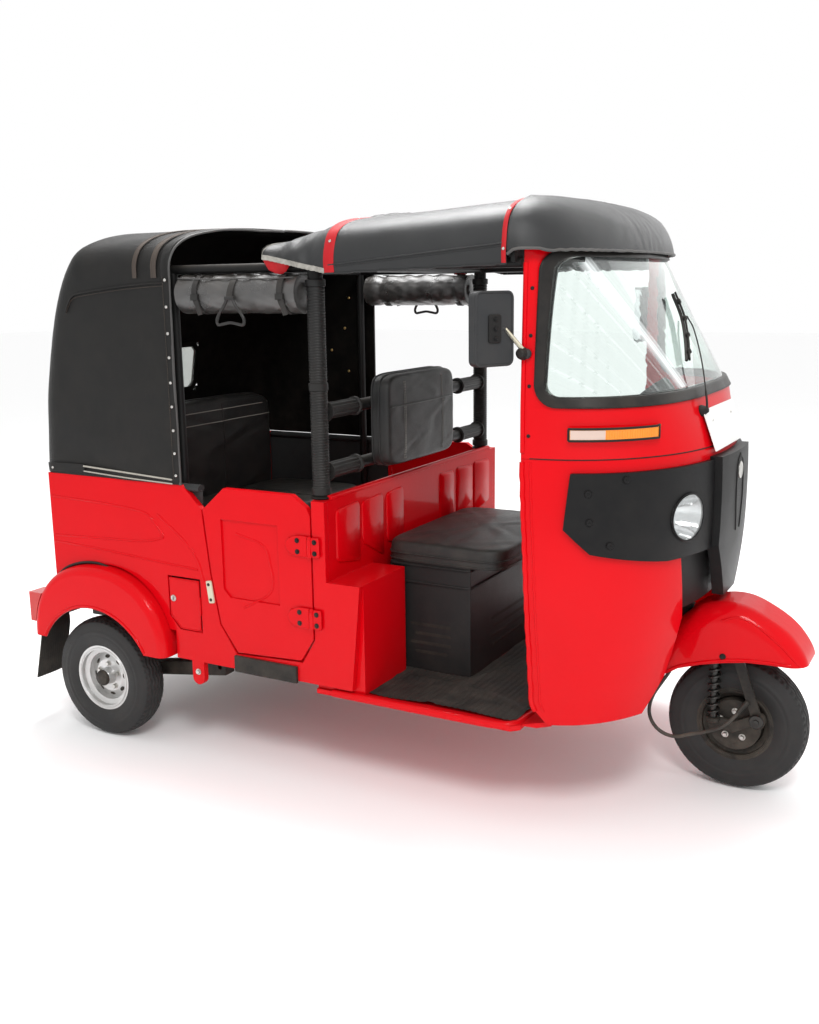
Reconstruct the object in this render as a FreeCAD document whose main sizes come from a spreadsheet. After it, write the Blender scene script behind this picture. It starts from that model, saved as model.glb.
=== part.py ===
import FreeCAD, Part
import math
import os
import re
import Sketcher

V = FreeCAD.Vector
doc = FreeCAD.newDocument("AutoRickshaw")
sheet = doc.addObject("Spreadsheet::Sheet", "Sizes")

# All lengths are millimetres and all angles are degrees.
# X points forward, Y to the left and Z up, and the ground is at Z = 0.
# The origin is on the ground under the middle of the vehicle.
SIZES = {
    # Stance and clearances
    "wheelbase": 2000,
    "front_axle_x": 1085,
    "rear_track": 1150,
    "overrun": 20,
    "edge_test": 1,
    "seat_fit": 0.3,
    "running_fit": 0.06,
    "moving_gap": 6,
    # Tyres and rims
    "tyre_radius": 207,
    "tyre_shoulder_radius": 198,
    "tread_width": 84,
    "tread_crown_width": 37,
    "tread_crown": 1,
    "sidewall_bulge": 9,
    "flange_radius": 114,
    "bead_radius": 102,
    "rim_width": 76,
    "rim_well_radius": 86,
    "rim_well_width": 34,
    "rim_wall": 3,
    "rim_disc_offset": 12,
    "rim_disc_radius": 56,
    "hub_radius": 30,
    "hub_reach": 34,
    "hub_step_radius": 26,
    "hub_step_reach": 24,
    "hub_end_radius": 19,
    "drum_radius": 78,
    "drum_depth": 46,
    "axle_radius": 14,
    # Red body sides, doors and their openings
    "body_half_width": 600,
    "body_wall": 20,
    "tail_x": -1117,
    "body_top_z": 905,
    "body_top_front_x": -530,
    "notch_x": -453,
    "notch_z": 834,
    "sill_bottom_z": 327,
    "sill_rear_x": -590,
    "tail_bottom_z": 420,
    "door_top_z": 908,
    "door_top_rear_x": -368,
    "door_top_front_x": -113,
    "door_shoulder_x": -62,
    "door_shoulder_z": 873,
    "door_front_x": -50,
    "door_low_front_x": -97,
    "door_low_front_z": 395,
    "door_low_rear_x": -338,
    "door_low_rear_z": 383,
    "door_rear_mid_x": -400,
    "door_rear_mid_z": 468,
    "door_rear_high_x": -429,
    "door_rear_high_z": 623,
    "door_wall": 20,
    "door_corner": 25,
    "door_press_depth": 6,
    "door_press_margin": 45,
    "door_press_low_z": 560,
    "hinge_plate_wall": 5,
    "hinge_barrel_radius": 8,
    "hinge_high_z": 752,
    "hinge_low_z": 530,
    "hinge_height": 54,
    "hinge_door_reach": 78,
    "hinge_post_reach": 30,
    "post_front_x": 1,
    "side_box_front_x": 117,
    "side_box_top_z": 653,
    "side_box_bottom_x": 84,
    "side_box_inner_y": 330,
    # Fuel flap
    "flap_front_x": -478,
    "flap_rear_x": -612,
    "flap_low_rear_x": -571,
    "flap_top_z": 604,
    "flap_bottom_z": 426,
    "flap_slant_z": 471,
    "flap_wall": 4,
    "flap_hinge_radius": 4,
    "flap_hinge_length": 60,
    # Step plate on the sill
    "step_rear_x": -347,
    "step_front_x": -111,
    "step_top_z": 374,
    "step_bottom_z": 322,
    "step_wall": 10,
    # Tail
    "tail_wall": 16,
    "tail_bulge": 70,
    "lid_half_width": 400,
    "lid_top_z": 800,
    "lid_bottom_z": 470,
    "lid_wall": 12,
    "lid_hinge_x": -1190,
    "lid_hinge_z": 806,
    "lid_hinge_radius": 7,
    "lid_hinge_y": 300,
    "lid_hinge_length": 60,
    "lid_strap_depth": 30,
    "lid_strap_height": 28,
    "lid_knuckle_length": 20,
    "hinge_gap": 0.5,
    "bumper_rear_x": -1292,
    "bumper_height": 70,
    "bumper_z": 372,
    "bumper_wall": 24,
    "bumper_half_width": 520,
    "plate_hole_spacing": 200,
    "plate_hole_radius": 3.5,
    "tail_lamp_rear_x": -1222,
    "tail_lamp_low_z": 375,
    "tail_lamp_height": 105,
    "tail_lamp_width": 70,
    "tail_lamp_inner_y": 565,
    # Rear fenders
    "fender_centre_x": -903,
    "fender_half_length": 297,
    "fender_height": 273,
    "fender_base_z": 332,
    "fender_face_y": 650,
    "fender_inner_y": 500,
    "fender_wall": 5,
    "fender_edge_radius": 30,
    "fender_opening_radius": 255,
    "fender_seam": 0.5,
    "fender_arch_rise": 95,
    "mudflap_top_z": 372,
    "mudflap_bottom_z": 155,
    "mudflap_lean": 45,
    "mudflap_wall": 6,
    "mudflap_width": 130,
    "mudflap_inset": 7.4,
    # Partition and floor
    "partition_wall": 52,
    "partition_top_z": 895,
    "floor_top_z": 310,
    "floor_wall": 15,
    "floor_front_x": 612,
    "floor_rim": 22,
    "passenger_floor_z": 392,
    # Cab: plan outline at the ground seam, the waist seam, the glass and the roof
    "cab_rear_x": 606,
    "cab_wall": 16,
    "cab_half_width": 575,
    "waist_half_width": 565,
    "roof_half_width": 552,
    "apron_bottom_z": 325,
    "apron_tip_x": 690,
    "apron_knee_x": 646,
    "apron_knee_z": 375,
    "nose_low_x": 960,
    "nose_mid_x": 1020,
    "nose_mid_z": 800,
    "nose_waist_x": 1018,
    "waist_z": 1058,
    "waist_gap": 3,
    "nose_glass_x": 968,
    "glass_low_z": 1196,
    "glass_high_z": 1606,
    "nose_roof_x": 752,
    "cab_top_z": 1655,
    "glass_rear_x": 642,
    "glass_corner": 62,
    "glass_wall": 5,
    "seal_width": 27,
    "seal_proud": 7,
    "arch_top_half_width": 300,
    "arch_top_z": 774,
    "arch_waist_half_width": 262,
    "arch_waist_z": 588,
    "arch_low_half_width": 300,
    "arch_low_z": 425,
    "arch_foot_half_width": 380,
    "arch_toe_x": 930,
    "cab_power": 2.2,
    "glass_power": 2.8,
    "roof_power": 1.7,
    # Headlamps, nose fairing, plate and indicators
    "bezel_proud": 14,
    "lamp_proud": 2,
    "bezel_rear_x": 728,
    "bezel_top_z": 1026,
    "bezel_bottom_z": 812,
    "bezel_inner_y": 168,
    "lamp_y": 300,
    "lamp_z": 885,
    "lamp_radius": 66,
    "lamp_face_x": 992,
    "lamp_depth": 80,
    "fairing_proud": 34,
    "fairing_half_width": 166,
    "fairing_top_z": 1034,
    "fairing_shoulder_z": 780,
    "fairing_low_half_width": 70,
    "fairing_low_z": 612,
    "plate_width": 340,
    "plate_height": 112,
    "plate_wall": 3,
    "plate_z": 1105,
    "plate_stand": 3.7,
    "plate_lean": 41,
    "indicator_length": 190,
    "indicator_height": 34,
    "indicator_z": 1128,
    "indicator_rear_x": 735,
    "indicator_proud": 12,
    # Steering and front suspension
    "rake": 24,
    "head_x": 914,
    "head_z": 523,
    "head_low": 20,
    "head_high": 140,
    "head_radius": 32,
    "column_radius": 18,
    "column_top": 560,
    "crown_drop": 80,
    "crown_wall": 24,
    "crown_front_x": 1112,
    "crown_rear_x": 905,
    "crown_left_y": 60,
    "crown_tab_x": 1000,
    "leg_y": 86,
    "leg_wall": 12,
    "leg_top_x": 1088,
    "leg_depth": 30,
    "pivot_x": 1160,
    "pivot_z": 246,
    "pivot_radius": 21,
    "link_y": 62,
    "link_wall": 12,
    "link_depth": 34,
    "spring_x": 1028,
    "spring_y": 80,
    "spring_low_z": 238,
    "spring_radius": 16,
    "spring_wire_radius": 3.5,
    "spring_turns": 9,
    "damper_radius": 10,
    "handlebar_half_width": 330,
    "handlebar_radius": 13,
    "handlebar_height": 545,
    "grip_length": 120,
    "grip_radius": 18,
    # Front fender
    "front_fender_half_width": 110,
    "front_fender_wall": 4,
    "front_fender_rear_x": 866,
    "front_fender_length": 420,
    "front_fender_base_z": 330,
    "front_fender_height": 260,
    "front_fender_round": 55,
    # Brake hose
    "hose_radius": 5.5,
    "hose_fitting_radius": 8,
    "hose_fitting_length": 44,
    "bend_share": 0.45,
    # Windscreen pillars, roof bows and rails
    "pillar_x": -39,
    "pillar_y": 549,
    "pillar_radius": 22,
    "rail_radius": 19,
    "rail_low_z": 972,
    "rail_high_z": 1151,
    "roof_rail_z": 1566,
    "roof_rail_radius": 14,
    "hood_pillar_x": -562,
    "hoop_rear_x": 40,
    "hoop_front_x": 548,
    "hoop_cap_x": 580,
    "hoop_width": 12,
    "hoop_wall": 10,
    "hoop_tie_height": 12,
    # Front canopy
    "canopy_front_x": 574,
    "canopy_rear_x": 30,
    "canopy_front_half_width": 590,
    "canopy_rear_half_width": 600,
    "canopy_front_top_z": 1742,
    "canopy_rear_top_z": 1708,
    "canopy_front_hem_z": 1560,
    "canopy_rear_hem_z": 1544,
    "canopy_power": 4.6,
    "canopy_wall": 4,
    "cap_half_width": 590,
    "cap_nose_x": 768,
    "cap_height": 157,
    "cap_low_z": 1585,
    "cap_side_hem_x": 640,
    "cap_side_hem_z": 1609,
    "cap_front_hem_z": 1624,
    "flap_tip_x": -180,
    "flap_tip_hem_z": 1590,
    "flap_tip_top_z": 1645,
    # Rear hood
    "hood_half_width": 602,
    "hood_front_x": -530,
    "hood_rear_x": -1185,
    "hood_top_z": 1699,
    "hood_arch_z": 1540,
    "hood_arch_power": 3.4,
    "hood_plan_power": 4.5,
    "hood_corner": 145,
    "hood_rise": 795,
    "hood_draw_in": 275,
    "hood_wall": 6,
    "window_half_width": 230,
    "window_low_z": 1110,
    "window_high_z": 1300,
    "window_wall": 3,
    "curtain_radius": 60,
    "curtain_rear_x": -515,
    "curtain_front_x": -75,
    "curtain_y": 548,
    # Seats
    "seat_box_front_x": 330,
    "seat_box_rear_x": 49,
    "seat_box_half_width": 300,
    "seat_box_top_z": 662,
    "seat_box_wall": 6,
    "cushion_rear_x": 25,
    "cushion_front_x": 435,
    "cushion_half_width": 305,
    "cushion_height": 74,
    "cushion_round": 22,
    "pad_front_x": 52,
    "pad_right_y": 290,
    "pad_left_y": 170,
    "pad_low_z": 950,
    "pad_high_z": 1240,
    "pad_corner": 30,
    "pad_edge": 14,
    "bench_front_x": -520,
    "bench_rear_x": -950,
    "bench_half_width": 498,
    "bench_cheek_x": -700,
    "bench_wall": 12,
    "bench_shelf_x": -1095,
    "bench_base_top_z": 635,
    "bench_back_x": -965,
    "bench_height": 110,
    "bench_back_wall": 90,
    "bench_back_top_z": 1090,
    # Mirrors
    "mirror_x": 554,
    "mirror_y": 640,
    "mirror_z": 1400,
    "mirror_width": 125,
    "mirror_height": 190,
    "mirror_wall": 26,
    "mirror_toe": 27,
    "mirror_corner": 18,
    "mirror_arm_radius": 6,
    "mirror_arm_z": 1334,
    "mirror_boot_radius": 14,
    "mirror_boot_y": 567,
    # Engine, chassis and rear suspension
    "engine_length": 380,
    "engine_width": 420,
    "engine_height": 300,
    "engine_bottom_z": 190,
    "frame_rail_y": 270,
    "frame_rail_width": 40,
    "frame_rail_height": 55,
    "frame_rail_top_z": 295,
    "frame_rear_x": -1090,
    "frame_front_x": 560,
    "arm_pivot_x": -505,
    "arm_pivot_z": 272,
    "arm_pivot_radius": 24,
    "arm_bore_radius": 8,
    "arm_y": 470,
    "arm_width": 46,
    "arm_height": 50,
    "shock_top_z": 545,
    "shock_x": -790,
    "shock_radius": 27,
    "backbone_radius": 24,
    "backbone_knee_x": 735,
    "backbone_rise_x": 812,
    "backbone_rise_z": 490,
    "backbone_head": 80,
    "dash_z": 1150,
    "dash_wall": 10,
    "dash_x": 800,
}
for row, (alias, number) in enumerate(SIZES.items(), 1):
    sheet.set(f"A{row}", alias.replace("_", " "))
    sheet.set(f"B{row}", str(number))
    sheet.setAlias(f"B{row}", alias)
doc.recompute()

s = type("Values", (), {alias: float(sheet.get(alias)) for alias in SIZES})
REAR_AXLE_X = s.front_axle_x - s.wheelbase
SIDES = {"right": -1, "left": 1}
pieces = []


def bound(text):
    """The expression with each alias pointed at the sheet."""
    return re.sub(r"[a-z_]+", lambda word: ("Sizes." if word.group() in SIZES else "") + word.group(), text)


def value(text):
    return float(sheet.evalExpression(bound(text)))


def new_body(label):
    body = doc.addObject("PartDesign::Body", label)
    body.Label = label
    pieces.append(body)
    return body


def draw(body, name, role, corners, offset="0"):
    """A closed outline on an origin plane of its body.

    Each corner is a pair of expressions. A third one is the rise of the arc that leaves the corner,
    to the left of the way to the next corner, or to the right where it is negative."""
    sketch = body.newObject("Sketcher::SketchObject", f"{body.Name}_{name}")
    sketch.AttachmentSupport = (next(f for f in body.Origin.OriginFeatures if f.Role == role), [""])
    sketch.MapMode = "FlatFace"
    sketch.setExpression("AttachmentOffset.Base.z", bound(offset))
    points = [V(value(corner[0]), value(corner[1]), 0) for corner in corners]
    heads = []
    for index, (start, end) in enumerate(zip(points, points[1:] + points[:1])):
        if len(corners[index]) == 2:
            sketch.addGeometry(Part.LineSegment(start, end))
            heads.append(1)
            continue
        rise = value(corners[index][2])
        chord = end - start
        radius = chord.Length ** 2 / (8 * abs(rise)) + abs(rise) / 2
        left = V(-chord.y, chord.x, 0).normalize()
        centre = (start + end) * 0.5 - left * math.copysign(radius - abs(rise), rise)
        first, last = (end, start) if rise > 0 else (start, end)
        angles = [math.atan2(p.y - centre.y, p.x - centre.x) for p in (first, last)]
        sketch.addGeometry(Part.ArcOfCircle(Part.Circle(centre, V(0, 0, 1), radius), *angles))
        heads.append(2 if rise > 0 else 1)
    for index, corner in enumerate(corners):
        before = index - 1 if index else len(corners) - 1
        sketch.addConstraint(Sketcher.Constraint("Coincident", before, 3 - heads[before], index,
            heads[index]))
        for kind, text, length in (("DistanceX", corner[0], points[index].x),
            ("DistanceY", corner[1], points[index].y)):
            number = sketch.addConstraint(Sketcher.Constraint(kind, -1, 1, index, heads[index], length))
            sketch.renameConstraint(number, f"{kind}_{index}")
            sketch.setExpression(f"Constraints.{kind}_{index}", bound(text))
        if len(corner) == 3:
            after = corners[(index + 1) % len(corners)]
            rise = corner[2] if value(corner[2]) > 0 else f"-({corner[2]})"
            span = f"(({after[0]}) - ({corner[0]})) ^ 2 + (({after[1]}) - ({corner[1]})) ^ 2"
            number = sketch.addConstraint(Sketcher.Constraint("Radius", index,
                sketch.Geometry[index].Radius))
            sketch.renameConstraint(number, f"Radius_{index}")
            sketch.setExpression(f"Constraints.Radius_{index}",
                bound(f"({span}) / (8 * ({rise})) + ({rise}) / 2"))
    return sketch


def circles(body, name, role, centres, radius, offset="0"):
    """Round outlines on an origin plane of its body."""
    sketch = draw(body, name, role, [], offset)
    for index, centre in enumerate(centres):
        middle = V(value(centre[0]), value(centre[1]), 0)
        sketch.addGeometry(Part.Circle(middle, V(0, 0, 1), value(radius)))
        for kind, text, length in (("DistanceX", centre[0], middle.x), ("DistanceY", centre[1], middle.y)):
            number = sketch.addConstraint(Sketcher.Constraint(kind, -1, 1, index, 3, length))
            sketch.renameConstraint(number, f"{kind}_{index}")
            sketch.setExpression(f"Constraints.{kind}_{index}", bound(text))
        number = sketch.addConstraint(Sketcher.Constraint("Radius", index, value(radius)))
        sketch.renameConstraint(number, f"Radius_{index}")
        sketch.setExpression(f"Constraints.Radius_{index}", bound(radius))
    return sketch


def feature(body, kind, sketch, length=None, reverse=False):
    """A pad, pocket, revolution or groove of the sketch on its body."""
    made = body.newObject(f"PartDesign::{kind}", f"{sketch.Name}_{kind}")
    made.Profile = sketch
    made.Reversed = reverse
    if length is not None:
        made.setExpression("Length", bound(length))
    body.Tip = made
    doc.recompute()
    return made


def turned(body, name, corners, kind="Revolution"):
    """The outline turned about the Y axis of its body: first across the wheel, then out from its axle."""
    made = body.newObject(f"PartDesign::{kind}", f"{body.Name}_{name}_{kind}")
    sketch = draw(body, name, "YZ_Plane", corners)
    made.Profile = sketch
    made.ReferenceAxis = (sketch, ["H_Axis"])
    made.Angle = 360
    body.Tip = made
    doc.recompute()
    return made


def slab(label, role, corners, offset, length):
    """A flat panel: its outline on a plane and its thickness."""
    body = new_body(label)
    feature(body, "Pad", draw(body, "outline", role, corners, offset), length)
    return body


def rounded(body, radius, picked):
    """Fillets on the edges of the last feature that the test picks."""
    before = body.Tip
    names = [f"Edge{n}" for n, edge in enumerate(before.Shape.Edges, 1) if picked(edge)]
    made = body.newObject("PartDesign::Fillet", f"{body.Name}_round_{len(body.Group)}")
    made.Base = (before, names)
    made.setExpression("Radius", bound(radius))
    body.Tip = made
    doc.recompute()
    return made


def along(edge, axis):
    """True for a straight edge that runs along the axis."""
    if len(edge.Vertexes) != 2:
        return False
    run = edge.Vertexes[1].Point - edge.Vertexes[0].Point
    return abs(run.normalize().dot(axis)) > 0.999


def placed(body, x="0", y="0", z="0"):
    for axis, text in (("x", x), ("y", y), ("z", z)):
        body.setExpression(f"Placement.Base.{axis}", bound(text))


def free_form(label, shape):
    """A sub-part whose shape is made from the sheet's sizes with surface functions."""
    made = doc.addObject("Part::Feature", label)
    made.Label = label
    made.Shape = shape
    pieces.append(made)
    return made


def primitive(kind, label, x="0", y="0", z="0", **sizes):
    """A primitive solid bound to the sheet, which joins the part through a group."""
    made = doc.addObject(f"Part::{kind}", label)
    for name, text in sizes.items():
        made.setExpression(name, bound(text))
    placed(made, x, y, z)
    return made


def group(label, members):
    """Solids on one body that don't touch, as one sub-part."""
    made = doc.addObject("Part::Compound", label)
    made.Label = label
    made.Links = members
    pieces.append(made)
    return made


def box(low, high):
    return Part.makeBox(high[0] - low[0], high[1] - low[1], high[2] - low[2], V(*low))


def rod(start, end, radius):
    way = V(*end) - V(*start)
    return Part.makeCylinder(radius, way.Length, V(*start), way)


def prism(points, run):
    """The closed outline swept along a straight run."""
    corners = [V(*p) for p in points]
    return Part.Face(Part.makePolygon(corners + corners[:1])).extrude(V(*run))


def mirrored(shape):
    return shape.mirror(V(0, 0, 0), V(0, 1, 0))


def both(shape):
    """The right-hand solid and its mirror image, which don't touch."""
    return Part.makeCompound([shape, mirrored(shape)])


def joined(shapes):
    return shapes[0].multiFuse(shapes[1:]).removeSplitter()


# Tyres and rims
def make_wheel(name, y_text, axle_text, silver_side):
    """A tyre on its pressed rim, whose dished disc, drum and studs turn with it."""
    tyre = new_body(f"{name}_tyre")
    bead, flange = "rim_width / 2 - seat_fit", "flange_radius + seat_fit"
    low, edge = "bead_radius + seat_fit", "tread_width / 2"
    turned(tyre, "section", [
        (f"-({bead})", low), (f"-({bead})", flange, "sidewall_bulge"),
        (f"-({edge})", "tyre_shoulder_radius"),
        ("-tread_crown_width", "tyre_radius - tread_crown", "tread_crown"),
        ("tread_crown_width", "tyre_radius - tread_crown"),
        (edge, "tyre_shoulder_radius", "sidewall_bulge"), (bead, flange), (bead, low)])
    rim = new_body(f"{name}_rim")
    half, well = "rim_width / 2", "rim_well_width / 2"
    out = "" if silver_side > 0 else "-"
    turned(rim, "barrel", [
        (f"-({half})", "flange_radius"), (f"-({half})", "bead_radius"),
        (f"-({well}) - rim_wall * 2", "bead_radius"),
        (f"-({well})", "rim_well_radius"), (well, "rim_well_radius"),
        (f"{well} + rim_wall * 2", "bead_radius"),
        (half, "bead_radius"), (half, "flange_radius"), (f"{half} + rim_wall", "flange_radius"),
        (f"{half} + rim_wall", "bead_radius - rim_wall"),
        (f"{well} + rim_wall * 3", "bead_radius - rim_wall"),
        (f"{well} + rim_wall", "rim_well_radius - rim_wall"),
        (f"-({well}) - rim_wall", "rim_well_radius - rim_wall"),
        (f"-({well}) - rim_wall * 3", "bead_radius - rim_wall"),
        (f"-({half}) - rim_wall", "bead_radius - rim_wall"),
        (f"-({half}) - rim_wall", "flange_radius")])
    wall = "rim_wall"
    turned(rim, "disc", [
        (f"{out}(0)", "rim_well_radius - rim_wall / 2"), (f"{out}(rim_disc_offset)", "rim_disc_radius"),
        (f"{out}(rim_disc_offset)", "axle_radius + running_fit"),
        (f"{out}(rim_disc_offset - {wall} * 2)", "axle_radius + running_fit"),
        (f"{out}(rim_disc_offset - {wall} * 2)", "rim_disc_radius"),
        (f"{out}(-{wall} * 2)", "rim_well_radius - rim_wall / 2")])
    turned(rim, "hub", [
        (f"{out}(rim_disc_offset)", "axle_radius + running_fit"), (f"{out}(rim_disc_offset)", "hub_radius"),
        (f"{out}(rim_disc_offset + hub_step_reach)", "hub_step_radius"),
        (f"{out}(rim_disc_offset + hub_reach)", "hub_end_radius"),
        (f"{out}(rim_disc_offset + hub_reach)", "axle_radius + running_fit")])
    turned(rim, "drum", [
        (f"{out}(rim_disc_offset - {wall} * 2)", "axle_radius + running_fit"),
        (f"{out}(rim_disc_offset - {wall} * 2)", "rim_disc_radius"),
        (f"{out}(-{wall} * 3)", "drum_radius"), (f"{out}(-drum_depth)", "drum_radius"),
        (f"{out}(-drum_depth)", "axle_radius + running_fit")])
    for piece in (tyre, rim):
        placed(piece, axle_text, y_text, "tyre_radius")


make_wheel("rear_right", "-rear_track / 2", "front_axle_x - wheelbase", -1)
make_wheel("rear_left", "rear_track / 2", "front_axle_x - wheelbase", 1)
make_wheel("front", "0", "front_axle_x", 1)

# Body sides: one outline holds the tail quarter, the sill and the post ahead of the door
DOOR_OPENING = [
    ("body_top_front_x", "body_top_z"), ("notch_x - moving_gap", "notch_z"),
    ("door_rear_high_x - moving_gap", "door_rear_high_z"),
    ("door_rear_mid_x - moving_gap", "door_rear_mid_z"),
    ("door_low_rear_x - moving_gap", "door_low_rear_z - moving_gap"),
    ("door_low_front_x + moving_gap", "door_low_front_z - moving_gap"),
    ("door_front_x + moving_gap", "door_rear_mid_z"),
    ("door_front_x + moving_gap", "partition_top_z")]
for side, sign in SIDES.items():
    near = "body_half_width - body_wall" if sign < 0 else "-body_half_width"
    panel = slab(f"body_side_{side}", "XZ_Plane", [
        ("tail_x", "body_top_z")] + DOOR_OPENING + [
        ("post_front_x", "partition_top_z"), ("post_front_x", "side_box_top_z"),
        ("side_box_front_x", "side_box_top_z"),
        ("side_box_bottom_x", "sill_bottom_z"), ("sill_rear_x", "sill_bottom_z"),
        ("sill_rear_x", "tail_bottom_z"),
        ("tail_x", "tail_bottom_z")], near, "body_wall")
    lug = draw(panel, "lug", "XZ_Plane", [
        ("arm_pivot_x - arm_pivot_radius", "sill_bottom_z"),
        ("arm_pivot_x - arm_pivot_radius", "arm_pivot_z", "-arm_pivot_radius + seat_fit"),
        ("arm_pivot_x + arm_pivot_radius", "arm_pivot_z"),
        ("arm_pivot_x + arm_pivot_radius", "sill_bottom_z")], near)
    feature(panel, "Pad", lug, "body_wall")
    flap_cut = draw(panel, "flap_recess", "XZ_Plane", [
        ("flap_rear_x", "flap_top_z"), ("flap_front_x", "flap_top_z"), ("flap_front_x", "flap_bottom_z"),
        ("flap_low_rear_x", "flap_bottom_z"), ("flap_rear_x", "flap_slant_z")], near)
    if side == "right":
        feature(panel, "Pocket", flap_cut, "body_wall + overrun", reverse=True)
    else:
        panel.removeObject(flap_cut)
        doc.removeObject(flap_cut.Name)
    arch = draw(panel, "wheel_arch", "XZ_Plane", [
        ("fender_centre_x - fender_half_length - fender_seam", "0"),
        ("fender_centre_x - fender_half_length - fender_seam", "fender_base_z", "fender_arch_rise"),
        ("fender_centre_x", "fender_base_z + fender_height + fender_seam", "fender_arch_rise"),
        ("fender_centre_x + fender_half_length + fender_seam", "fender_base_z"),
        ("fender_centre_x + fender_half_length + fender_seam", "0")], near)
    feature(panel, "Pocket", arch, "body_wall + overrun", reverse=True)


# Doors: hinged on the post ahead of them, with a pressed face and two hinge plates
for side, sign in SIDES.items():
    near = "body_half_width - door_wall" if sign < 0 else "-body_half_width"
    outside = "body_half_width" if sign < 0 else "-body_half_width - hinge_plate_wall"
    door = slab(f"door_{side}", "XZ_Plane", [
        ("door_top_rear_x", "door_top_z"), ("notch_x", "notch_z"), ("door_rear_high_x", "door_rear_high_z"),
        ("door_rear_mid_x", "door_rear_mid_z"), ("door_low_rear_x", "door_low_rear_z"),
        ("door_low_front_x", "door_low_front_z"), ("door_front_x", "door_rear_mid_z"),
        ("door_front_x", "door_shoulder_z - door_corner"),
        ("door_shoulder_x", "door_shoulder_z"), ("door_top_front_x", "door_top_z")], near, "door_wall")
    pressing = draw(door, "pressing", "XZ_Plane", [
        ("door_rear_high_x + door_press_margin", "notch_z - door_corner"),
        ("door_rear_high_x + door_press_margin", "door_press_low_z + door_corner"),
        ("door_rear_high_x + door_press_margin + door_corner", "door_press_low_z"),
        ("door_front_x - door_press_margin - door_corner * 3", "door_press_low_z"),
        ("door_front_x - door_press_margin - door_corner * 3", "notch_z - door_corner")],
        "body_half_width - door_press_depth" if sign < 0 else "-body_half_width")
    feature(door, "Pocket", pressing, "door_press_depth", reverse=True)
    post = next(piece for piece in pieces if piece.Label == f"body_side_{side}")
    for height in ("high", "low"):
        base, top = f"hinge_{height}_z - hinge_height / 2", f"hinge_{height}_z + hinge_height / 2"
        leaf = draw(door, f"leaf_{height}", "XZ_Plane", [
            ("door_front_x - hinge_door_reach", base), ("door_front_x", base), ("door_front_x", top),
            ("door_front_x - hinge_door_reach", top)], outside)
        feature(door, "Pad", leaf, "hinge_plate_wall")
        barrel_y = "-(body_half_width + moving_gap)" if sign < 0 else "body_half_width + moving_gap"
        barrel = circles(door, f"barrel_{height}", "XY_Plane", [("door_front_x", barrel_y)],
            "hinge_barrel_radius", base)
        feature(door, "Pad", barrel, "hinge_height")
        fixed = draw(post, f"leaf_{height}", "XZ_Plane", [
            ("door_front_x + hinge_barrel_radius + moving_gap", base),
            ("door_front_x + hinge_post_reach", base),
            ("door_front_x + hinge_post_reach", top),
            ("door_front_x + hinge_barrel_radius + moving_gap", top)], outside)
        feature(post, "Pad", fixed, "hinge_plate_wall")

# Fuel flap: a thin lid in its recess, hinged along its front edge
fuel_flap = slab("fuel_flap", "XZ_Plane", [
    ("flap_rear_x + moving_gap", "flap_top_z - moving_gap"),
    ("flap_front_x - moving_gap", "flap_top_z - moving_gap"),
    ("flap_front_x - moving_gap", "flap_bottom_z + moving_gap"),
    ("flap_low_rear_x + moving_gap", "flap_bottom_z + moving_gap"),
    ("flap_rear_x + moving_gap", "flap_slant_z + moving_gap / 2")], "body_half_width - flap_wall",
    "flap_wall")
knuckle = circles(fuel_flap, "knuckle", "XY_Plane", [("flap_front_x - flap_hinge_radius - seat_fit",
    "-body_half_width - flap_hinge_radius / 2")],
                  "flap_hinge_radius", "(flap_top_z + flap_bottom_z - flap_hinge_length) / 2")
feature(fuel_flap, "Pad", knuckle, "flap_hinge_length")

# Step plates on the sills
STEP_Y = {"right": "-body_half_width - seat_fit - step_wall", "left": "body_half_width + seat_fit"}
group("step_plates", [primitive("Box", f"step_plate_{side}", Length="step_front_x - step_rear_x",
                                Width="step_wall", Height="step_top_z - step_bottom_z",
                                x="step_rear_x", y=STEP_Y[side], z="step_bottom_z") for side in SIDES])

# Tail: a bulged rear panel with the engine lid hung in its opening
INNER_Y = s.body_half_width - s.body_wall - s.seat_fit


def tail_plan(inset, half_width, z):
    """The tail's bulged outline in plan, moved forward by an inset."""
    rear = s.tail_x - s.tail_bulge + inset
    corner = s.tail_x + inset
    arc = Part.Arc(V(corner, -half_width, z), V(rear, 0, z), V(corner, half_width, z)).toShape()
    front = s.tail_x + s.tail_bulge
    sides = Part.makePolygon([V(corner, half_width, z), V(front, half_width, z), V(front, -half_width, z),
        V(corner, -half_width, z)])
    return Part.Face(Part.Wire([arc] + sides.Edges))


def tail_shell(half_width, low_z, high_z, near, far):
    """The part of the tail between two depths behind its outer face."""
    run = V(0, 0, high_z - low_z)
    outer = tail_plan(near, half_width, low_z).extrude(run)
    inner = tail_plan(far, half_width + s.overrun, low_z).extrude(run)
    return outer.cut(inner)


tail = tail_shell(INNER_Y, s.tail_bottom_z, s.body_top_z, 0, s.tail_wall)
tail = tail.cut(box((s.tail_x - s.tail_bulge * 2, -s.lid_half_width - s.moving_gap,
    s.lid_bottom_z - s.moving_gap),
                    (s.tail_x + s.tail_bulge, s.lid_half_width + s.moving_gap, s.lid_top_z + s.moving_gap)))
lid = tail_shell(INNER_Y, s.lid_bottom_z, s.lid_top_z, 0, s.lid_wall).common(
    box((s.tail_x - s.tail_bulge * 2, -s.lid_half_width, s.lid_bottom_z),
    (s.tail_x + s.tail_bulge, s.lid_half_width, s.lid_top_z)))


def knuckle(start_y, length, foot_z):
    """A barrel on the lid's hinge line with a web that runs down or up to a foot level."""
    low, high = sorted((foot_z, s.lid_hinge_z))
    barrel = rod((s.lid_hinge_x, start_y, s.lid_hinge_z), (s.lid_hinge_x, start_y + length, s.lid_hinge_z),
        s.lid_hinge_radius)
    web = box((s.lid_hinge_x - s.lid_hinge_radius, start_y, low),
        (s.lid_hinge_x + s.lid_hinge_radius, start_y + length, high))
    return barrel.fuse(web)


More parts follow.
